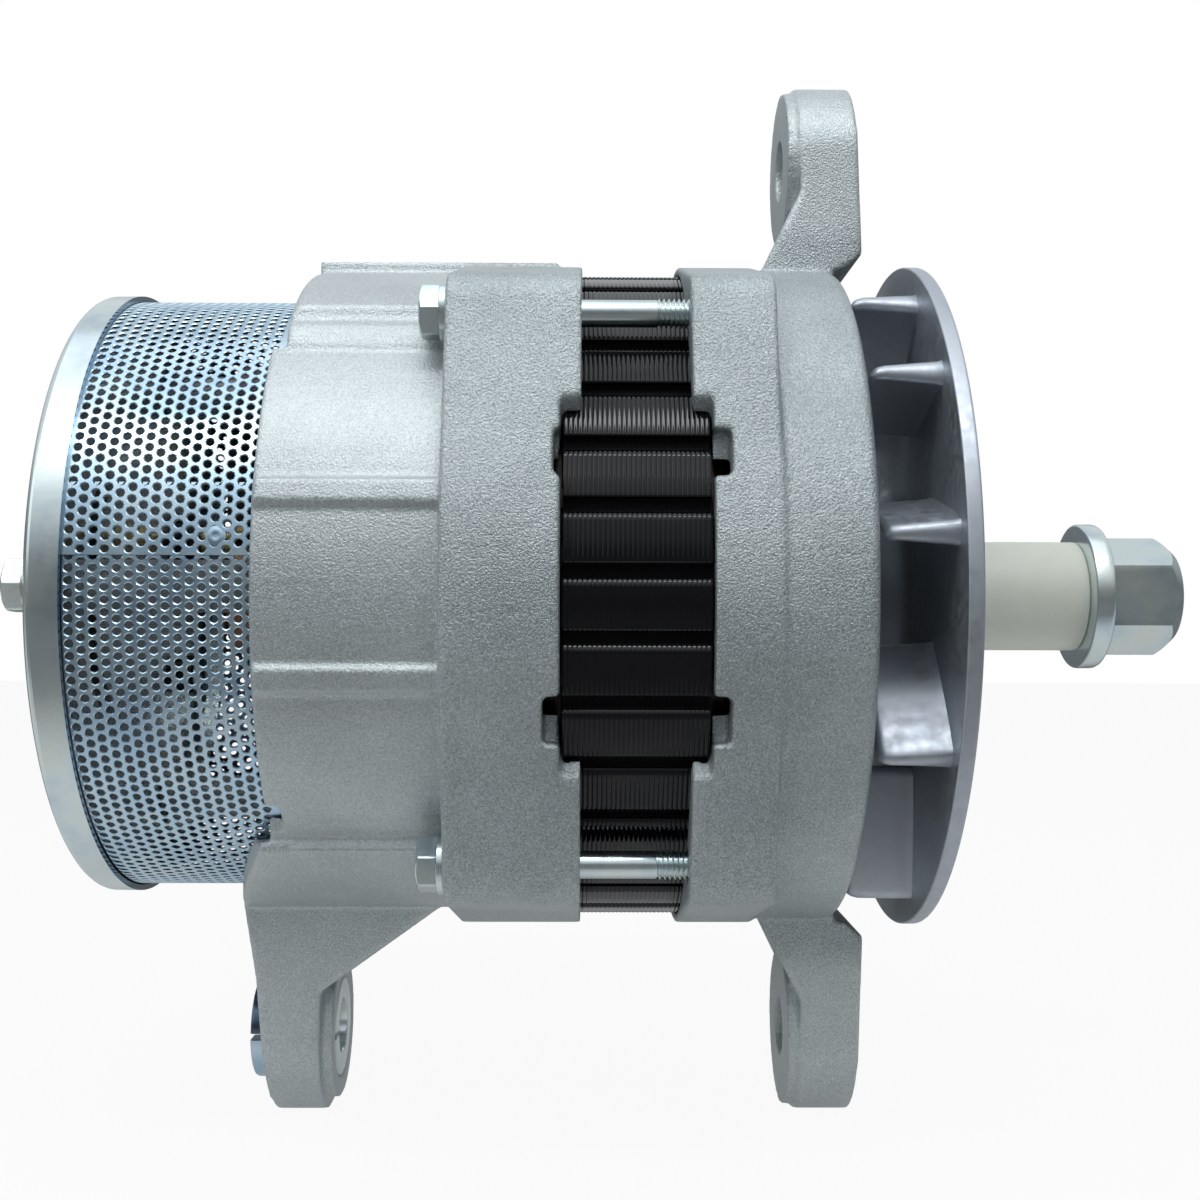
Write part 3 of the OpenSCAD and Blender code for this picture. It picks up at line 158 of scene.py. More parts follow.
class Nodes:
    """Short calls that add nodes to the tree of one material or of the world."""

    def __init__(self, owner):
        owner.use_nodes = True
        self.owner = owner
        self.tree = owner.node_tree
        self.shader = self.tree.nodes.get("Principled BSDF")

    def feed(self, value, socket):
        """Links another node's output to a socket, or sets the socket to a constant."""
        if isinstance(value, bpy.types.NodeSocket):
            self.tree.links.new(value, socket)
        else:
            socket.default_value = value

    def fill(self, node, **inputs):
        """Feeds a node's inputs by their names, with _ for each blank."""
        for key, value in inputs.items():
            self.feed(value, node.inputs[key.replace("_", " ")])
        return node

    def add(self, kind, *values, **settings):
        """A new node: settings are its own properties, values go to its inputs in their order."""
        node = self.tree.nodes.new("ShaderNode" + kind)
        for key, setting in settings.items():
            setattr(node, key, setting)
        for value, socket in zip(values, node.inputs):
            self.feed(value, socket)
        return node

    def to(self, value, socket):
        """Feeds one input of the material's shader."""
        self.feed(value, self.shader.inputs[socket])

    def coords(self, kind="Object"):
        """Texture coordinates, from the piece's own origin unless another kind is named."""
        return self.add("TexCoord").outputs[kind]

    def axes(self, kind="Object"):
        """Outputs X, Y and Z of the coordinates."""
        return self.add("SeparateXYZ", self.coords(kind)).outputs

    def mapped(self, scale, location=(0, 0, 0)):
        """Object coordinates, scaled and then moved."""
        node = self.fill(self.add("Mapping"), Vector=self.coords(), Location=location, Scale=scale)
        return node.outputs[0]

    def from_axis(self):
        """Vector from the rotor axis, square to it."""
        return self.mapped((0, 1, 1), (0, 0, -PIVOT_DROP / 1000))

    def noise(self, scale, detail, rough=0.5, vector=None):
        """Cloudy value round 0.5, finer with the scale and rougher with the detail."""
        node = self.fill(self.add("TexNoise"), Scale=scale, Detail=detail, Roughness=rough,
                         Vector=vector or self.coords())
        return node.outputs["Fac"]

    def ramp(self, value, stops):
        """Colours along a value, with stops (position, colour)."""
        node = self.add("ValToRGB", value)
        ends = node.color_ramp.elements
        while len(ends) < len(stops):
            ends.new(0.5)
        for end, (at, colour) in zip(ends, stops):
            end.position = at
            end.color = (*colour, 1)
        return node.outputs[0]

    def scaled(self, value, low, high, start=0.0, stop=1.0):
        """The range from start to stop brought to the range from low to high."""
        node = self.fill(self.add("MapRange", value), From_Min=start, From_Max=stop,
                         To_Min=low, To_Max=high)
        return node.outputs[0]

    def math(self, kind, *values):
        """One sum of numbers and outputs, by the name of its operation."""
        return self.add("Math", *values, operation=kind).outputs[0]

    def blend(self, share, first, second, kind="MixRGB"):
        """The first colour or shader, turning into the second as the share goes from 0 to 1."""
        return self.add(kind, share, first, second).outputs[0]

    def bump(self, height, distance, strength):
        """Surface relief: the height counts for the distance, and the strength weakens it."""
        node = self.fill(self.add("Bump"), Height=height, Distance=distance, Strength=strength)
        self.to(node.outputs[0], "Normal")

    def two_tone(self, value, colour, spread, edge=0.3):
        """Base colour that goes from colour (1 - spread) to colour (1 + spread)."""
        dark = [c * (1 - spread) for c in colour]
        light = [min(1, c * (1 + spread)) for c in colour]
        self.to(self.ramp(value, [(edge, dark), (1 - edge, light)]), "Base Color")


def new_material(name, base, metallic, roughness, **inputs):
    """Nodes of a new Principled material; inputs names further sockets of the shader."""
    n = Nodes(bpy.data.materials.new(name))
    n.fill(n.shader, Base_Color=(*base, 1), Metallic=metallic, Roughness=roughness, **inputs)
    return n


# Between these two lies nearly every value of a noise
NOISE_RANGE = (0.3, 0.7)
# Where a finish or painted light changes, in metres of the part's frame: x where the rear body
# turns paler, reach of the ears' painted light from the axis along z, reach from the middle of the
# screen, and radius of the grooves
REAR_BODY_FADE = (-0.0752, -0.0718)
EAR_PAINTED_LIGHT_FADE = (0.079, 0.084)
SCREEN_MIDDLE, SCREEN_FADE = -0.125, (0.0206, 0.0209)
GROOVE_FADE = (0.0718, 0.0722)


def cast_alloy():
    """Shot-blasted aluminium: fine sparkle, faint stains and a grainy surface. The rear body and
    the ears came out of the mould smoother, and are paler than the clamp rings and the front; on
    the ears the paler tone is painted light."""
    n = new_material("cast_alloy", (0.5, 0.53, 0.54), 0.62, 0.42)
    grain = n.noise(2100, 2, 0.65)
    speck = n.noise(4200, 1)
    stain = n.noise(38, 3, 0.55)
    at = n.axes()
    rear = n.scaled(at["X"], 1.0, 0.0, *REAR_BODY_FADE)
    reach = n.math("ABSOLUTE", n.math("SUBTRACT", at["Z"], PIVOT_DROP / 1000))
    # Painted light: the ears get the paler colours, for the light that falls on their sides from
    # above
    ear_painted_light = n.scaled(reach, 0.0, 1.0, *EAR_PAINTED_LIGHT_FADE)
    pale_rear_and_painted_ear_light = n.math("MAXIMUM", rear, ear_painted_light)
    mixed = n.math("ADD", n.scaled(grain, -0.1, 0.6, 0.25, 0.75),
                   n.scaled(stain, 0, 0.3, *NOISE_RANGE))
    mixed = n.math("ADD", mixed, n.scaled(speck, -0.16, 0.34, 0.3, 0.75))
    plain = n.ramp(mixed, [(0.1, (0.30, 0.335, 0.345)), (0.5, (0.46, 0.505, 0.515)),
                           (0.95, (0.64, 0.685, 0.70))])
    light = n.ramp(mixed, [(0.1, (0.42, 0.455, 0.465)), (0.5, (0.55, 0.595, 0.605)),
                           (0.95, (0.69, 0.735, 0.745))])
    n.to(n.blend(pale_rear_and_painted_ear_light, plain, light), "Base Color")
    n.to(n.scaled(grain, 0.36, 0.52, *NOISE_RANGE), "Roughness")
    n.bump(n.math("MULTIPLY", grain, n.scaled(pale_rear_and_painted_ear_light, 1.0, 0.6)), 0.00042, 0.8)
    return n.owner


def zinc_plate():
    """Bright zinc with a blue-green passivation that drifts in tone, bluest on the screen's
    outside, with painted shade on its inside, which is nearly black."""
    n = new_material("zinc_plate", (0.66, 0.74, 0.76), 1.0, 0.2)
    drift = n.noise(70, 4, 0.6)
    along = n.math("SUBTRACT", n.axes()["X"], SCREEN_MIDDLE)
    on_screen = n.scaled(n.math("ABSOLUTE", along), 1.0, 0.0, *SCREEN_FADE)
    facing = n.add("VectorMath", n.add("NewGeometry").outputs["Normal"], n.from_axis(),
                   operation="DOT_PRODUCT").outputs["Value"]
    outside = n.scaled(facing, 0.0, 1.0, -0.01, 0.03)
    plain = n.ramp(drift, [(0.3, (0.55, 0.64, 0.70)), (0.5, (0.68, 0.76, 0.77)),
                           (0.72, (0.74, 0.78, 0.73))])
    blue = n.ramp(drift, [(0.3, (0.40, 0.56, 0.72)), (0.5, (0.50, 0.66, 0.78)),
                          (0.72, (0.62, 0.74, 0.80))])
    # Painted shade: the inside of the screen is coloured nearly black, for the shade within the
    # tube
    screen = n.blend(outside, (0.07, 0.10, 0.15, 1), blue)
    n.to(n.blend(on_screen, plain, screen), "Base Color")
    n.to(n.scaled(drift, 0.16, 0.3, *NOISE_RANGE), "Roughness")
    n.bump(n.noise(900, 2), 0.00003, 0.4)
    return n.owner


def core_paint():
    """Thin sprayed black gloss with a slight orange peel, dull in the core's grooves."""
    colour, roughness = (0.0022, 0.0023, 0.0034), 0.08
    n = new_material("core_paint", colour, 0.0, roughness, Specular_IOR_Level=0.36)
    peel = n.noise(300, 2)
    n.two_tone(peel, colour, 0.25)
    n.bump(peel, 0.00002, 0.3)
    radius = n.add("VectorMath", n.from_axis(), operation="LENGTH").outputs["Value"]
    n.to(n.scaled(radius, 1.0, roughness, *GROOVE_FADE), "Roughness")
    return n.owner


def copper_wire():
    """Varnished copper wire, shown as fine ridges round the coil."""
    colour = (0.055, 0.018, 0.010)
    n = new_material("copper_wire", colour, 0.6, 0.32, Coat_Weight=0.5, Coat_Roughness=0.2)
    wave = n.fill(n.add("TexWave", bands_direction="X"), Vector=n.coords(), Scale=190,
                  Distortion=1.6, Detail=2).outputs["Fac"]
    n.two_tone(wave, colour, 0.35, 0.2)
    n.bump(wave, 0.0004, 0.7)
    return n.owner


def plain_metal(name, colour, roughness, spread=0.06, grain=260, metallic=1.0,
                stretch=(1, 1, 1), depth=0.00004):
    """Worked metal: slow colour drift, fine scratches stretched one way."""
    n = new_material(name, colour, metallic, roughness)
    fine = n.noise(grain, 3, 0.6, n.mapped(stretch))
    n.two_tone(n.noise(55, 3, 0.6), colour, spread)
    n.to(n.scaled(fine, roughness * 0.8, min(1, roughness * 1.3), *NOISE_RANGE), "Roughness")
    n.bump(fine, depth, 0.5)
    return n.owner


def moulding(name, colour, roughness, spread, metallic=0.0):
    """Moulded or sintered material with a faint mottle."""
    n = new_material(name, colour, metallic, roughness)
    mottle = n.noise(220, 3, 0.6)
    n.two_tone(mottle, colour, spread)
    n.to(n.scaled(mottle, roughness * 0.85, min(1, roughness * 1.2), *NOISE_RANGE), "Roughness")
    n.bump(mottle, 0.00005, 0.4)
    return n.owner


finish = {
    "cast_alloy": cast_alloy(),
    "core_paint": core_paint(),
    "copper_wire": copper_wire(),
    "insulation": moulding("insulation", (0.030, 0.026, 0.024), 0.55, 0.2),
    "zinc_plate": zinc_plate(),
    "bearing_steel": plain_metal("bearing_steel", (0.56, 0.57, 0.59), 0.18, 0.03, 500),
    "cage_brass": plain_metal("cage_brass", (0.72, 0.52, 0.24), 0.3),
    "sink_alloy": plain_metal("sink_alloy", (0.16, 0.165, 0.18), 0.5, 0.06, 400),
    "diode_steel": plain_metal("diode_steel", (0.62, 0.61, 0.57), 0.25),
    "carbon": moulding("carbon", (0.045, 0.042, 0.045), 0.42, 0.3, 0.3),
    "spring_steel": plain_metal("spring_steel", (0.48, 0.49, 0.50), 0.25),
    "stud_brass": plain_metal("stud_brass", (0.70, 0.52, 0.26), 0.25),
    "ring_copper": plain_metal("ring_copper", (0.34, 0.18, 0.11), 0.22, 0.08, 900,
                               stretch=(30, 1, 1)),
    "terminal_plastic": moulding("terminal_plastic", (0.016, 0.016, 0.017), 0.28, 0.15),
    "rotor_steel": plain_metal("rotor_steel", (0.38, 0.38, 0.39), 0.34, 0.12, 500),
    "fan_alloy": plain_metal("fan_alloy", (0.48, 0.51, 0.56), 0.44, 0.06, 420,
                             metallic=0.88, depth=0.00003),
    "sleeve_plastic": moulding("sleeve_plastic", (0.86, 0.875, 0.77), 0.42, 0.02),
}
slot_of = {entry["node"]: entry["material_slot"] for entry in frame["record"]["subparts"]}
for name, node in nodes.items():
    node.data.materials.clear()
    node.data.materials.append(finish[slot_of[name]])
    shade(node.data, 30)


# Pieces that stand for CAD nodes


def dress(piece, name, body, sharp):
    """Gives a piece the material of its node's slot, its body, and smooth shading up to the sharp
    angle."""
    slot = slot_of[name]
    piece.data.materials.clear()
    piece.data.materials.append(finish[slot])
    shade(piece.data, sharp)
    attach(piece, body)


def put(name, parts, body, sharp=32):
    """One piece from several surfaces: merges seams and poles, and turns faces outwards."""
    points, faces = joined(parts)
    mesh = bpy.data.meshes.new(name)
    mesh.from_pydata(points, [], faces.tolist())
    work = bmesh.new()
    work.from_mesh(mesh)
    bmesh.ops.remove_doubles(work, verts=work.verts, dist=2e-7)
    bmesh.ops.dissolve_degenerate(work, edges=work.edges, dist=1e-8)
    bmesh.ops.recalc_face_normals(work, faces=work.faces)
    work.to_mesh(mesh)
    work.free()
    piece = bpy.data.objects.new(name + "_surface", mesh)
    bpy.context.scene.collection.objects.link(piece)
    dress(piece, name, body, sharp)
    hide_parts(name)
    return piece


# Castings: the CAD solid with softened edges

CAST_VOXEL, CAST_PASSES, CAST_KEPT = 0.62, 4, 0.27


def softened(name):
    """A copy of a CAD node, remeshed on a fine grid, smoothed and thinned out, so that every edge
    gets a cast radius."""
    mesh = nodes[name].data.copy()
    work = bmesh.new()
    work.from_mesh(mesh)
    bmesh.ops.remove_doubles(work, verts=work.verts, dist=1e-6)
    work.to_mesh(mesh)
    work.free()
    piece = bpy.data.objects.new(name + "_casting", mesh)
    bpy.context.scene.collection.objects.link(piece)
    remesh = piece.modifiers.new("grid", "REMESH")
    remesh.mode = "VOXEL"
    remesh.voxel_size = CAST_VOXEL / 1000
    relax = piece.modifiers.new("relax", "SMOOTH")
    relax.factor = 0.5
    relax.iterations = CAST_PASSES
    thin = piece.modifiers.new("thin", "DECIMATE")
    thin.ratio = CAST_KEPT
    graph = bpy.context.evaluated_depsgraph_get()
    final = bpy.data.meshes.new_from_object(piece.evaluated_get(graph))
    piece.modifiers.clear()
    piece.data = final
    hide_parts(name)
    dress(piece, name, "stator_body", 50)


for name in ("front_housing", "rear_housing"):
    softened(name)


# Screen: one sheet that overlaps itself on the viewed side, with a spot weld on the lap

SCREEN_R, SCREEN_THICK = 67.1, 0.45
SCREEN_BACK, SCREEN_FRONT = -113.5, -68.85
SEAM, STEPS, STEPS_ROUND = 175.1, 178, 172
HOLE_ROWS, ROW_PITCH, STEP_LENGTH, PLAIN_EDGE = 16, 2.32, 2.44, 3.765
RIM_SHARE, HOLE_SHARE, RIM_DIP = 0.43, 0.345, 0.16


def screen_place(u, v, depth):
    """The sheet winds inwards from the seam: radius R - thickness u / 172 - depth at the angle
    seam - 360 u / 172, where u counts the steps round and v is the length along x."""
    return around(v, SCREEN_R - SCREEN_THICK * u / STEPS_ROUND - depth,
                  SEAM - u * 360 / STEPS_ROUND)


def sheet(flat, outer, inner):
    """Both sides of the screen. Rows (u, v, dip) are merged where they agree, the dip lowers the
    outer side, and a wall closes every edge that belongs to one outer face only."""
    rows, index = np.unique(np.round(flat, 4), axis=0, return_inverse=True)
    index = index.reshape(-1)
    outer, inner = index[outer], index[inner]
    edges = np.stack([outer, np.roll(outer, -1, 1)], -1).reshape(-1, 2)
    rank = np.sort(edges, 1) @ np.array([len(rows), 1])
    _, first, count = np.unique(rank, return_index=True, return_counts=True)
    rim = edges[first[count == 1]]
    far = len(rows)
    walls = np.stack([rim[:, 1], rim[:, 0], rim[:, 0] + far, rim[:, 1] + far], -1)
    points = np.concatenate([screen_place(*rows.T),
                             screen_place(rows[:, 0], rows[:, 1], SCREEN_THICK)])
    faces = np.concatenate([outer, inner[:, ::-1] + far, walls])
    used, faces = np.unique(faces, return_inverse=True)
    return points[used], faces.reshape(-1, 4)


def perforated():
    """Round holes on a staggered grid. Each cell joins eight points of its outline to the eight
    corners of a rim that dips into its hole, and every second row is moved on by half a step."""
    rows, columns = np.meshgrid(np.arange(HOLE_ROWS), np.arange(STEPS), indexing="ij")
    j, i = rows.reshape(-1), columns.reshape(-1)
    keep = (j % 2 == 1) | (i < STEPS - 1)
    i, j = i[keep][:, None], j[keep][:, None]
    low = SCREEN_BACK + PLAIN_EDGE
    mid_u, mid_v = i + 0.5 + 0.5 * ((j + 1) % 2), low + (j + 0.5) * ROW_PITCH
    du = np.array([-1, 0, 1, 1, 1, 0, -1, -1]) / 2
    dv = np.array([-1, -1, -1, 0, 1, 1, 1, 0]) / 2
    turn = np.arctan2(dv, du)
    rings = [(mid_u + du, mid_v + dv * ROW_PITCH, 0.0)]
    for share, depth in ((RIM_SHARE, 0.0), (HOLE_SHARE, RIM_DIP)):
        rings.append((mid_u + share * np.cos(turn), mid_v + share * STEP_LENGTH * np.sin(turn),
                      depth))
    rings = [np.stack(np.broadcast_arrays(*ring), -1) for ring in rings]
    flat = [np.stack(rings, -2).reshape(-1, 3)]
    base = np.arange(len(i))[:, None] * 24
    k = np.arange(8) * 3
    k2 = np.roll(k, -1)

    def quads(a, b):
        """Faces between the rings a and b of every cell."""
        corners = [base + k + a, base + k2 + a, base + k2 + b, base + k + b]
        return np.stack(corners, -1).reshape(-1, 4)

    outer, inner = [quads(0, 1), quads(1, 2)], [quads(0, 2)]

    def strip(us, vs):
        """Plain grid that fills what the cells leave."""
        u, v = np.meshgrid(us, vs, indexing="ij")
        for side in (outer, inner):
            side.append(grid_faces(len(us), len(vs), first=sum(len(part) for part in flat)))
        flat.append(np.stack([u, v, 0 * v], -1).reshape(-1, 3))

    halves = np.arange(2 * STEPS + 1) / 2
    strip(halves, [SCREEN_BACK, low])
    strip(halves, [low + HOLE_ROWS * ROW_PITCH, SCREEN_FRONT])
    for row in range(0, HOLE_ROWS, 2):
        for u in (0, STEPS - 0.5):
            strip([u, u + 0.5], low + (row + np.array([0, 0.5, 1])) * ROW_PITCH)
    return sheet(np.concatenate(flat), np.concatenate(outer), np.concatenate(inner))


def spot_weld(x, angle):
    """Shallow dimple with a raised ring: height 16 h q^2 (1 - q)^2, less how far it is sunk, at
    the share q of its radius. Its flat base lies under the sheet."""
    radius, height, sunk, base_depth, rows, columns = 2.0, 0.12, 0.02, 0.2, 9, 28
    q = np.linspace(0, 1, rows)[:, None]
    turn = np.linspace(0, 2 * np.pi, columns, endpoint=False)
    rise = height * 16 * q ** 2 * (1 - q) ** 2 - sunk
    top = around(x + radius * q * np.sin(turn), SCREEN_R - 0.03 + rise,
                 angle + np.degrees(radius * q * np.cos(turn) / SCREEN_R))
    base = around(x, SCREEN_R - base_depth, angle + 0 * turn)[None]
    return np.concatenate([top, base]), grid_faces(rows + 1, columns, False, True)


put("rear_screen", [perforated(), spot_weld(-80.5, 171.9)], "stator_body")


# Fan: disc and hub turned, blades lofted

FAN_BACK, FAN_FRONT, FAN_R = 61.55, 64.75, 75.6
HUB_BACK, HUB_LIP, SEAT_R = 48, 50.25, 11.12
BLADE_TIP, BLADE_ROOT, BLADE_HEIGHT = 71.6, 45.0, 14.2
SWEEP, MIDDLE_SWEEP, END_SHARE, BLADE_CAP = 14, 5.9, 0.055, 0.085
BLADE_ANGLES = 117 + np.cumsum([0, 25, 30, 37, 42, 46, 25, 30, 37, 42])


def blade(angle):
    """Loft from the disc to the free end, t being the share of the height and s the share of the
    length. The middle line is a quadratic curve from the tip to the swept inner end; the half
    thickness falls from 2.5 to 1.25, widens a little at the foot, and rounds off at both ends and
    on top. The tip draws in towards the top."""
    tip = np.array(spot(BLADE_TIP, angle))
    root = np.array(spot(BLADE_ROOT, angle - SWEEP))
    middle = np.array(spot((BLADE_TIP + BLADE_ROOT) / 2, angle - MIDDLE_SWEEP))
    pull = 2 * middle - (tip + root) / 2
    s = (1 - np.cos(np.linspace(0, np.pi, 23))) / 2
    line = ((1 - s)[:, None] ** 2 * tip + (2 * s * (1 - s))[:, None] * pull
            + s[:, None] ** 2 * root)
    along = np.gradient(line, axis=0)
    normal = np.stack([-along[:, 1], along[:, 0]], -1) / np.linalg.norm(along, axis=1)[:, None]
    top = 1 - BLADE_CAP * (1 - np.sin(np.linspace(0.2, np.pi / 2, 7)))
    t = np.concatenate([[-0.08, 0, 0.04, 0.1], np.linspace(0.2, 0.9, 8), top])
    height = np.clip(t, 0, 1)
    half = 2.5 - 1.25 * height + 0.25 * np.exp(-height * 30)
    cap = np.sqrt(np.clip(1 - (np.clip(t - 1 + BLADE_CAP, 0, 1) / BLADE_CAP) ** 2, 0, 1))
    ends = np.clip(np.minimum(s, 1 - s) / END_SHARE, 0, 1)
    ends = np.sqrt(np.clip(1 - (1 - ends) ** 2, 0, 1))
    across = ((half * cap)[:, None] * ends)[..., None] * normal
    draw = 0.012 + 0.02 * np.clip((t - 0.8) / 0.2, 0, 1) ** 2
    drawn = line * (1 - draw[:, None] * (1 - s) ** 6)[..., None]
    loop = np.concatenate([drawn + across, (drawn - across)[:, ::-1]], 1)
    points = place((FAN_BACK - BLADE_HEIGHT * t)[:, None], loop[..., 0], loop[..., 1])
    return points, grid_faces(len(t), loop.shape[1], False, True)


def fan_disc():
    """Bore, hub, web, rim and front face as one closed profile with softened corners."""
    corners = [(HUB_BACK, SEAT_R), (HUB_LIP, SEAT_R), (HUB_LIP, 19), (FAN_BACK, 24),
               (FAN_BACK, FAN_R), (FAN_FRONT, FAN_R), (FAN_FRONT, SEAT_R), (HUB_BACK, SEAT_R)]
    profile = rounded(corners, [0, 0.4, 1.2, 3, 0.5, 0.6, 0.4, 0])
    return lathe(profile[1:-1], 240, closed=True)


put("fan", [fan_disc()] + [blade(a) for a in BLADE_ANGLES], "rotor", sharp=40)


# Laminated core

CORE_R, CORE_HALF, BORE_R, LAND_START = 73.2, 14.1, 52.4, -1.05
TEETH, SHEETS, EDGE_ARC, SLOT_DEPTH, SLOT_TURN = 36, 30, 0.15, 14.2, 1.3
# One land and its groove: angle from the land's start, and change of the core's radius
LAND = np.array([(0, -0.69), (0.12, -0.545), (0.35, -0.325), (0.65, -0.138), (0.95, -0.034),
                 (1.25, 0), (1.4, 0), (4.1, 0), (7.05, 0), (7.5, -0.06), (7.7, -0.25),
                 (7.81, -0.7), (7.85, -2.2), (9.9, -2.2), (9.95, -0.95)])
SLOT_ROWS = slice(9, 14)


def laminated_core():
    """Thirty laminations. Round the outside the radius falls by 2.2 in each of 36 grooves; along x
    every lamination's edge is a shallow arc: R - 0.15 (2 frac((x + L) / p) - 1)^2. The bore has
    as many slots, a little further round."""
    angle = (np.arange(TEETH)[:, None] * 10 + LAND[:, 0]).reshape(-1) + LAND_START
    share = np.array([0.0, 0.12, 0.3, 0.5, 0.7, 0.88])
    x = np.append((np.arange(SHEETS)[:, None] + share).reshape(-1), SHEETS)
    x = x * (2 * CORE_HALF / SHEETS) - CORE_HALF
    arc = EDGE_ARC * (2 * np.append(np.tile(share, SHEETS), 0) - 1) ** 2
    outer = CORE_R + np.tile(LAND[:, 1], TEETH)[None] - arc[:, None]
    slot = np.zeros(len(LAND))
    slot[SLOT_ROWS] = SLOT_DEPTH
    inner = BORE_R + np.tile(slot, TEETH)[None]
    r = np.concatenate([outer, inner, inner])
    x = np.append(x, [CORE_HALF, -CORE_HALF])[:, None]
    turn = np.where(np.arange(len(r)) < len(outer), 0, SLOT_TURN)[:, None]
    return around(x, r, angle + turn), grid_faces(len(r), len(angle), True, True)


put("stator_core", [laminated_core()], "stator_body", sharp=28)


# Bolts, nuts, studs and washers


def threaded(x0, x1, radius, pitch, depth, centre=(0, 0)):
    """Screw thread that ends at x1: radius - depth |2 frac(x / pitch - a / 2 pi) - 1| with flat
    crests and roots, running out over one pitch at x0 and bevelled at x1."""
    rows, columns, flat, bevel, lead = 8, 36, 0.12, 0.8, 0.1
    if x1 > x0:
        x = np.append(np.arange(x0, x1, pitch / rows), x1)
    else:
        x = np.linspace(x0, x1, int((x0 - x1) / pitch * rows) + 1)
    x = x[:, None]
    a = np.linspace(0, 2 * np.pi, columns, endpoint=False)
    wave = np.abs(2 * ((x / pitch - a / (2 * np.pi)) % 1) - 1)
    wave = np.clip((wave - flat) / (1 - 2 * flat), 0, 1)
    start = np.clip(np.abs(x - x0) / pitch, 0, 1)
    r = radius - depth * (wave * start + 1 - start)
    r = np.minimum(r, radius - depth - lead + np.abs(x1 - x) * (depth + lead) / bevel)
    r = np.concatenate([0 * r[:1], r, 0 * r[:1]])
    x = np.concatenate([x[:1], x, x[-1:]])
    return turned(x, r, a, centre), grid_faces(len(x), columns, False, True)


def hex_piece(x0, x1, flats, centre=(0, 0), turn=0.0, bore=0.0, bevel0=0.0, bevel1=0.0, soft=0.25,
              dome=0.0, face=0.97):
    """Hexagonal prism from x0 to x1, cut by a cone at its ends. At the angle a the wall stands at
    h(a) = (flats / 2) / cos(a to the nearest flat); the cone takes off bevel * (h - f), where f is
    the face's share of flats / 2. An end without a bevel has edges softened by soft, and the dome
    lowers the outer part of the end at x1."""
    a = np.radians(np.arange(0, 360, 3.0))
    fold = (a - math.radians(turn) + math.pi / 6) % (math.pi / 3) - math.pi / 6
    wall = np.minimum(flats / 2 / np.cos(fold), flats / math.sqrt(3) - soft * 0.3)
    length, flat, inset = abs(x1 - x0), flats / 2, flats / 2 * face
    if bevel0:
        rise = (wall - inset) * bevel0
        rings = [(0, bore + (inset - bore) * share) for share in (0, 0.5, 1)]
        rings += [(rise * 0.5, (wall + inset) / 2), (np.maximum(rise, 0.02), wall)]
    else:
        rings = [(0, bore), (0, wall - soft), (soft * 0.3, wall - soft * 0.3), (soft, wall)]
    drop = (wall - inset) * bevel1
    rings += [(length - np.maximum(drop, 0.02) - dome * 0.6, wall),
              (length - drop * 0.5 - dome * 0.45, (wall + inset) / 2),
              (length - dome * 0.35, inset),
              (length - dome * 0.12, flat * (face - 0.12)),
              (length, max(bore, flat * 0.66)),
              (length, bore)]
    x, r = (np.stack([np.broadcast_to(ring[k], a.shape) for ring in rings]) for k in (0, 1))
    x = x0 + math.copysign(1, x1 - x0) * x
    return turned(x, r, a, centre), grid_faces(len(rings), len(a), bore > 0, True)


def collar(x0, x1, bore, radius, centre, soft=0.25, more=()):
    """Flat ring with softened outer corners; more adds profile rows (x, r) beyond x1."""
    start, last = (x0, (bore + radius) / 2), more[-1][0] if more else x1
    rows = [start, (x0, radius), (x1, radius), *more, (last, bore), (x0, bore), start]
    return lathe(rounded(rows, soft, 3)[:-1], 64, centre, closed=True)


def rod(x0, x1, radius, segments, centre):
    """Plain round rod with flat ends."""
    return lathe([(x0, 0), (x0, radius), (x1, radius), (x1, 0)], segments, centre)


HEAD_X, TIP_X, BOLT_CIRCLE, HEAD_HEIGHT = -38.75, 26.5, 77.6, 4.2
BOLT_TURNS = {45: 12, 135: 30, 225: 8, 315: 20}
BOLT_THREAD_R, BOLT_PITCH = 2.95, 1.0
WASHER_THICK, WASHER_BORE, WASHER_R = 1.4, 3.2, 5.9
COVER_FACE, COVER_BOLT_CIRCLE = -117.15, 58.5
COVER_BOLT_TURNS = {60: 10, 180: 26, 300: 50}


def bolt_head(x, at, turn):
    """Head of a 6 mm bolt, from its washer at x outwards."""
    return hex_piece(x, x - HEAD_HEIGHT, 10, at, turn, bevel1=0.55, soft=0.2, dome=0.5)


def flat_washer(x, at):
    """Washer that lies on x, towards the drive end."""
    return collar(x, x + WASHER_THICK, WASHER_BORE, WASHER_R, at)


bolts, washers, cover_bolts, cover_washers = [], [], [], []
for angle, turn in BOLT_TURNS.items():
    at = spot(BOLT_CIRCLE, angle)
    shank = [(HEAD_X - 1, 0), (HEAD_X - 1, 2.72), (4.2, 2.72), (4.6, 2.5), (4.6, 0)]
    bolts += [bolt_head(HEAD_X, at, turn), lathe(shank, 32, at),
              threaded(3.6, TIP_X - 0.2, BOLT_THREAD_R, BOLT_PITCH, 0.6, at)]
    washers.append(flat_washer(HEAD_X, at))
for angle, turn in COVER_BOLT_TURNS.items():
    at = spot(COVER_BOLT_CIRCLE, angle)
    shank = [(COVER_FACE - 2, 0), (COVER_FACE - 2, 2.95), (-112.0, 2.95), (-111.6, 2.5),
             (-111.6, 0)]
    cover_bolts += [bolt_head(COVER_FACE - WASHER_THICK, at, turn), lathe(shank, 32, at),
                    threaded(-112.2, -102.0, 2.98, BOLT_PITCH, 0.5, at)]
    cover_washers.append(flat_washer(COVER_FACE - WASHER_THICK, at))
put("through_bolts", bolts, "stator_body")
put("through_bolt_washers", washers, "stator_body")
put("cover_bolt_washers", cover_washers, "stator_body")
put("cover_bolts", cover_bolts, "stator_body")

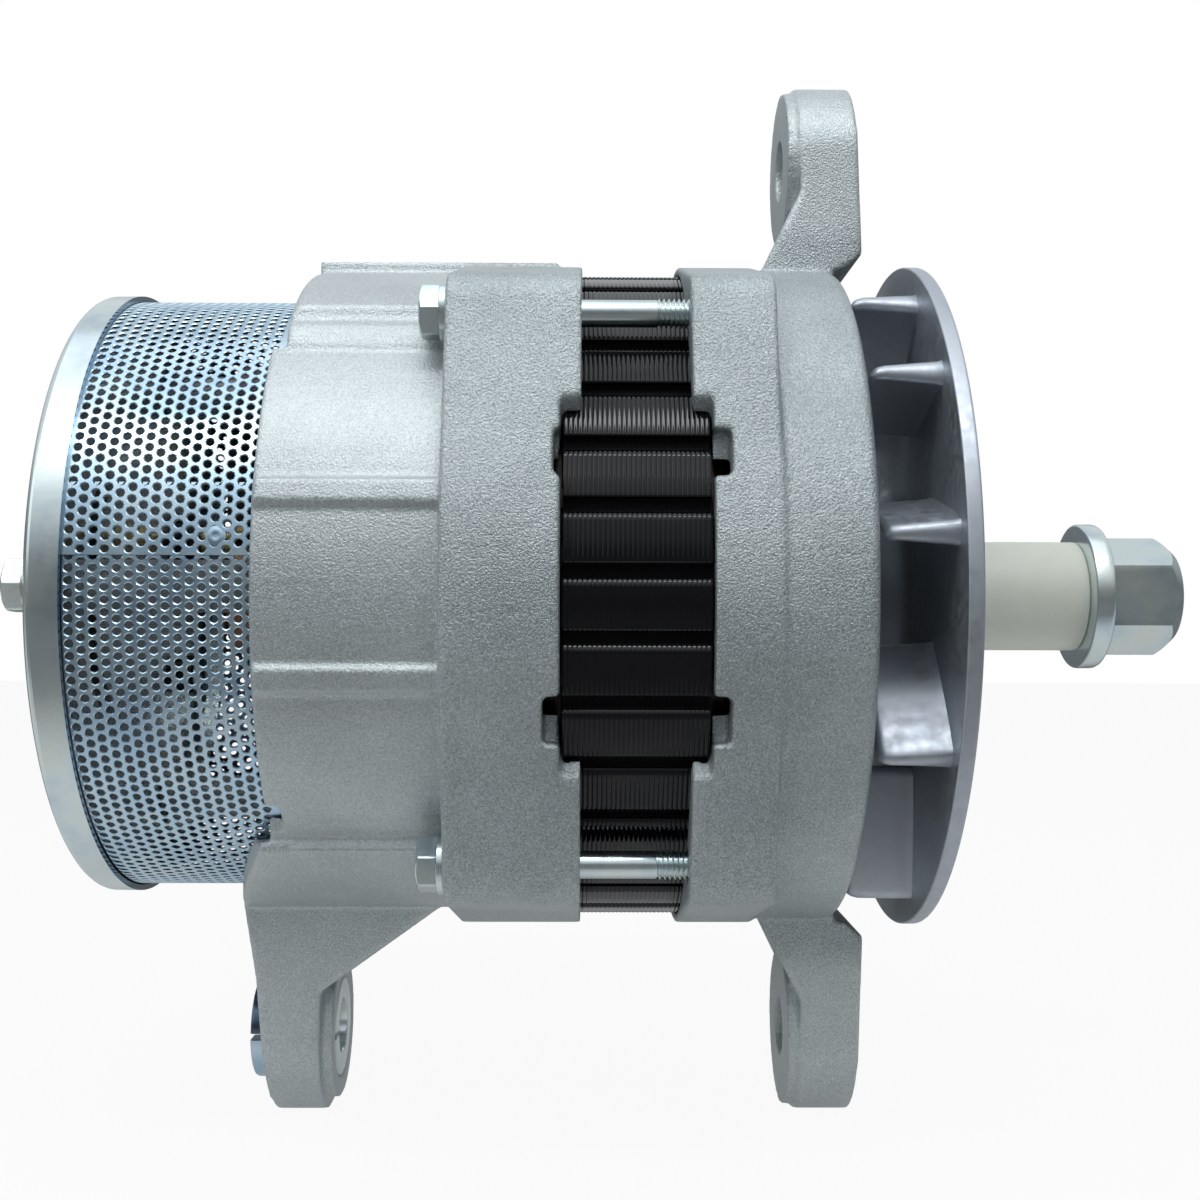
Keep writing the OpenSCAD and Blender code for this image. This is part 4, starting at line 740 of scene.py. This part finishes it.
# The studs: place, x of the insulator's face, of the outer nut's end, of the tip and of the root
OUTPUT_AT, RELAY_AT = spot(44, 20), (40, -20)
OUTPUT_FACE, OUTPUT_NUT_END, OUTPUT_TIP, OUTPUT_ROOT = -120.15, -126.15, -134.15, -73.6
RELAY_FACE, RELAY_NUT_END, RELAY_TIP, RELAY_ROOT = -119.15, -123.15, -128.15, -107.95
OUTPUT_NUTS = ((OUTPUT_FACE, OUTPUT_NUT_END), (-85.6, -90.6))
RELAY_NUTS = ((RELAY_FACE, RELAY_NUT_END), (-110.95, RELAY_ROOT))

put("output_stud", [threaded(OUTPUT_NUT_END, OUTPUT_TIP, 3.98, 1.25, 0.6, OUTPUT_AT),
                    rod(OUTPUT_NUT_END - 0.15, OUTPUT_ROOT, 3.58, 40, OUTPUT_AT),
                    hex_piece(OUTPUT_ROOT, -69.6, 12, OUTPUT_AT, bevel1=0.5)], "stator_body")
put("output_nuts", [hex_piece(x0, x1, 13, OUTPUT_AT, 8, bore=3.6, bevel0=0.4, bevel1=0.6,
                              soft=0.3, dome=0.3, face=0.95)
                    for x0, x1 in OUTPUT_NUTS], "stator_body")
put("relay_stud", [threaded(RELAY_NUT_END, RELAY_TIP, 2.48, 0.8, 0.4, RELAY_AT),
                   rod(RELAY_NUT_END - 0.15, RELAY_ROOT, 2.18, 32, RELAY_AT)], "stator_body")
put("relay_nuts", [hex_piece(x0, x1, 8, RELAY_AT, 20, bore=2.2, bevel0=0.4, bevel1=0.6,
                             soft=0.2, dome=0.2, face=0.95)
                   for x0, x1 in RELAY_NUTS], "stator_body")
put("output_insulator", [collar(OUTPUT_FACE, COVER_FACE, 3.7, 11, OUTPUT_AT, 0.8,
                                [(COVER_FACE, 6.9), (-109.95, 6.9)])], "stator_body")
put("relay_insulator", [collar(RELAY_FACE, COVER_FACE, 2.2, 7.5, RELAY_AT, 0.6,
                               [(COVER_FACE, 4.9), (-110.95, 4.9)])], "stator_body")


def split_bush():
    """Bevelled tube with a slit on the viewed side: the slit's half angle is
    asin(half width / r)."""
    x0, x1, bore, out, bevel, soft, half_slit, steps = -85.2, -65.8, 6.1, 11.48, 0.8, 0.5, 0.75, 97
    edge, lip = bevel * 0.3, 0.15
    outer = [(x0, out - bevel - 0.3), (x0, out - bevel), (x0 + edge, out - edge),
             (x0 + bevel, out), (x1 - bevel, out), (x1 - edge, out - edge),
             (x1, out - bevel), (x1, out - bevel - 0.3)]
    inner = [(x0, bore + 0.8), (x0, bore + soft), (x0 + lip, bore + lip), (x0 + soft, bore),
             (x1 - soft, bore), (x1 - lip, bore + lip), (x1, bore + soft), (x1, bore + 0.8)]
    x, r = np.array(outer + inner[::-1]).T[:, :, None]
    slit = np.degrees(np.arcsin(half_slit / r))
    a = np.radians(180 + slit + (360 - 2 * slit) * np.linspace(0, 1, steps))
    count = len(x)
    k = np.arange(count // 2 - 1)
    cut = np.stack([k, k + 1, count - 2 - k, count - 1 - k], -1) * steps
    faces = [grid_faces(count, steps, True), cut, cut + steps - 1]
    return turned(x, r, a, (0, -PIVOT_DROP)), np.concatenate(faces)


def tube(x0, x1, start, bore, radius, soft):
    """Turned ring with softened corners, whose profile starts at the radius start on the face
    x0."""
    corners = [(x0, start), (x0, bore), (x0, radius), (x1, radius), (x1, bore), (x0, bore),
               (x0, start)]
    return lathe(rounded(corners, [0, *soft, 0, 0])[1:-1], 128, closed=True)


SLEEVE_END, NUT_BACK, NUT_END = 105.45, 110.25, 127.85
put("pivot_bush", [split_bush()], "bush_body")
put("shaft_nut", [hex_piece(NUT_BACK, NUT_END, 24, bore=7.92, bevel0=0.15, bevel1=0.95, soft=0.3,
                            dome=0.8, face=0.88)], "rotor")
put("shaft_washer", [tube(SLEEVE_END, NUT_BACK, 9, 8.2, 16.95, (0.3, 0.7, 1.4, 0.3))], "rotor")
put("shaft_sleeve", [tube(FAN_FRONT, SLEEVE_END, 12, 11.14, 12.75, (0.1, 0.35, 0.6, 0.1))],
    "rotor")


# Brush springs: helices between the spring floor and the spring top

SPRING_FLOOR, SPRING_TOP, COIL_R, WIRE_R, COILS = 31.05, 42.0, 2.1, 0.42, 7.5
COIL_STEPS, WIRE_SIDES = 28, 12


def spring_path(x):
    """Helix about z: end coils lie flat, and between them z rises evenly with the turn t."""
    t = np.linspace(0, COILS, int(COILS * COIL_STEPS) + 1)
    rise = np.clip((t - 1) / (COILS - 2), 0, 1)
    rise = 0.09 * np.minimum(t, 1) + 0.82 * rise + 0.09 * np.clip(t - COILS + 1, 0, 1)
    z = SPRING_FLOOR + WIRE_R + (SPRING_TOP - SPRING_FLOOR - 2 * WIRE_R) * rise
    return np.stack([x + COIL_R * np.cos(2 * np.pi * t), COIL_R * np.sin(2 * np.pi * t), z], -1)


def wire(path):
    """Round wire along a path of points P: the ring P + r (cos a side + sin a other), where side
    and other stand square to the path. Its ends are drawn in to a point."""
    along = np.gradient(path, axis=0)
    along /= np.linalg.norm(along, axis=1)[:, None]
    side = np.cross(along, [0.31, 0.22, 0.93])
    side /= np.linalg.norm(side, axis=1)[:, None]
    other = np.cross(along, side)
    a = np.linspace(0, 2 * np.pi, WIRE_SIDES, endpoint=False)[:, None]
    ring = path[:, None] + WIRE_R * (np.cos(a) * side[:, None] + np.sin(a) * other[:, None])
    ends = [np.repeat(path[end, None], WIRE_SIDES, 1) for end in (slice(0, 1), slice(-1, None))]
    ring = np.concatenate([ends[0], ring, ends[1]])
    return place(*np.moveaxis(ring, -1, 0)), grid_faces(len(ring), WIRE_SIDES, False, True)


for letter, ring_x in (("a", -75.6), ("b", -86.6)):
    spring = put("brush_spring_" + letter, [wire(spring_path(ring_x))], "stator_body", sharp=60)
    tuple(place(ring_x, 0, 42.05))
    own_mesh(spring)


# Camera, at the photograph's viewing angle

FOCAL_PIXELS, IMAGE_PIXELS, SENSOR_MM = 1515, 1200, 36
CAMERA_AT = (-10.1, -356.5, -1.95)
ORBIT = math.radians(1.1)
YAW, PITCH, ROLL = 0.0108, 0.0021, 0.0031


def swung(one, other, angle):
    """Two square directions turned in their plane: one cos a + other sin a, and
    other cos a - one sin a."""
    return (math.cos(angle) * one + math.sin(angle) * other,
            math.cos(angle) * other - math.sin(angle) * one)


def make_camera():
    """Camera basis from yaw, pitch and roll, then turned about the rotor axis by the orbit."""
    ahead = Vector((math.sin(YAW), math.cos(YAW), 0))
    right = Vector((math.cos(YAW), -math.sin(YAW), 0))
    ahead, up = swung(ahead, Vector((0, 0, 1)), PITCH)
    right, up = swung(right, up, ROLL)
    turn = Matrix.Rotation(ORBIT, 3, "X")
    at, ahead, right, up = (turn @ v for v in (Vector(CAMERA_AT), ahead, right, up))
    data = bpy.data.cameras.new("camera")
    data.lens = SENSOR_MM * FOCAL_PIXELS / IMAGE_PIXELS
    data.sensor_width = SENSOR_MM
    data.clip_start, data.clip_end = 0.01, 20
    camera = bpy.data.objects.new("camera", data)
    bpy.context.scene.collection.objects.link(camera)
    basis = Matrix((right, up, -ahead)).transposed().to_4x4()
    basis.translation = Vector(place(*at).tolist())
    camera.matrix_world = basis
    bpy.context.scene.camera = camera


make_camera()


# Studio: white world, pale floor, soft lamps

LAMP_COLOUR, LAMP_AIM = (0.95, 0.985, 1.0), (-0.05, 0, 0.1)
SKY_TINT = (0.93, 0.985, 1.02)
FLOOR_HALF, FLOOR_TONE, FLOOR_NEAR, FLOOR_FAR = 3, 0.8, 0.08, 0.19
FLOOR_BOUNCE, FLOOR_SEEN, FLOOR_GLOW = 0.24, 0.93, 0.25


def area_lamp(name, at, size, watts):
    """A rectangular area lamp at a place in the part's frame, turned to the part."""
    data = bpy.data.lights.new(name, "AREA")
    data.shape = "RECTANGLE"
    data.size, data.size_y = size
    data.color = LAMP_COLOUR
    data.energy = watts
    lamp = bpy.data.objects.new(name, data)
    lamp.location = at
    lamp.rotation_euler = (Vector(LAMP_AIM) - Vector(at)).to_track_quat("-Z", "Y").to_euler()
    bpy.context.scene.collection.objects.link(lamp)


def make_world():
    """The world is white to the camera, and a soft top-to-bottom gradient as light and in
    reflections."""
    world = bpy.data.worlds.new("studio")
    bpy.context.scene.world = world
    n = Nodes(world)
    n.tree.nodes.clear()
    height = n.scaled(n.axes("Generated")["Z"], 0, 1, -1, 1)

    def sky(stops):
        """Background whose tone goes with the height."""
        tones = [(at, [tone * tint for tint in SKY_TINT]) for at, tone in stops]
        return n.add("Background", n.ramp(height, tones)).outputs[0]

    light = sky([(0.0, 0.36), (0.42, 0.27), (0.62, 0.20), (1.0, 0.42)])
    mirror = sky([(0.0, 0.36), (0.42, 0.22), (0.58, 0.19), (0.76, 0.85), (1.0, 0.75)])
    white = n.add("Background", (1, 1, 1, 1)).outputs[0]
    path = n.add("LightPath").outputs
    clear = n.math("MAXIMUM", path["Is Glossy Ray"], path["Is Transmission Ray"])
    seen = n.blend(clear, light, mirror, "MixShader")
    n.add("OutputWorld", n.blend(path["Is Camera Ray"], seen, white, "MixShader"))


def make_floor():
    """Pale floor under the part, which keeps the part's shadow and glows to the camera. For other
    rays it darkens away from the part, so that it throws little light up at the lower side."""
    z = cad_low[2]
    corners = [(x * FLOOR_HALF, y * FLOOR_HALF, z) for x, y in ((-1, -1), (1, -1), (1, 1), (-1, 1))]
    floor = bpy.data.objects.new("floor", bpy.data.meshes.new("floor"))
    floor.data.from_pydata(corners, [], [(0, 1, 2, 3)])
    bpy.context.scene.collection.objects.link(floor)
    n = new_material("pale_floor", (FLOOR_TONE,) * 3, 0.0, 0.9)
    camera_ray = n.add("LightPath").outputs["Is Camera Ray"]
    away = n.math("ABSOLUTE", n.axes()["Y"])
    under = n.scaled(away, 1.0, FLOOR_BOUNCE, FLOOR_NEAR, FLOOR_FAR)
    tone = n.math("MULTIPLY", n.math("MAXIMUM", camera_ray, under), FLOOR_TONE)
    n.to(tone, "Base Color")
    glow = n.math("MAXIMUM", n.math("MULTIPLY", camera_ray, FLOOR_SEEN),
                  n.math("MULTIPLY", under, FLOOR_GLOW))
    surface = n.blend(glow, n.shader.outputs[0], n.add("Emission").outputs[0], "MixShader")
    n.feed(surface, n.tree.nodes["Material Output"].inputs[0])
    floor.data.materials.append(n.owner)


make_world()
area_lamp("key_lamp", (-0.10, -0.24, 0.74), (1.0, 0.9), 1.7)
area_lamp("strip_lamp", (-0.05, -0.385, 0.675), (0.7, 0.10), 1.5)
area_lamp("side_lamp", (-0.9, -0.5, 0.5), (0.6, 0.6), 0.8)
make_floor()

bpy.context.scene.view_settings.view_transform = "Standard"
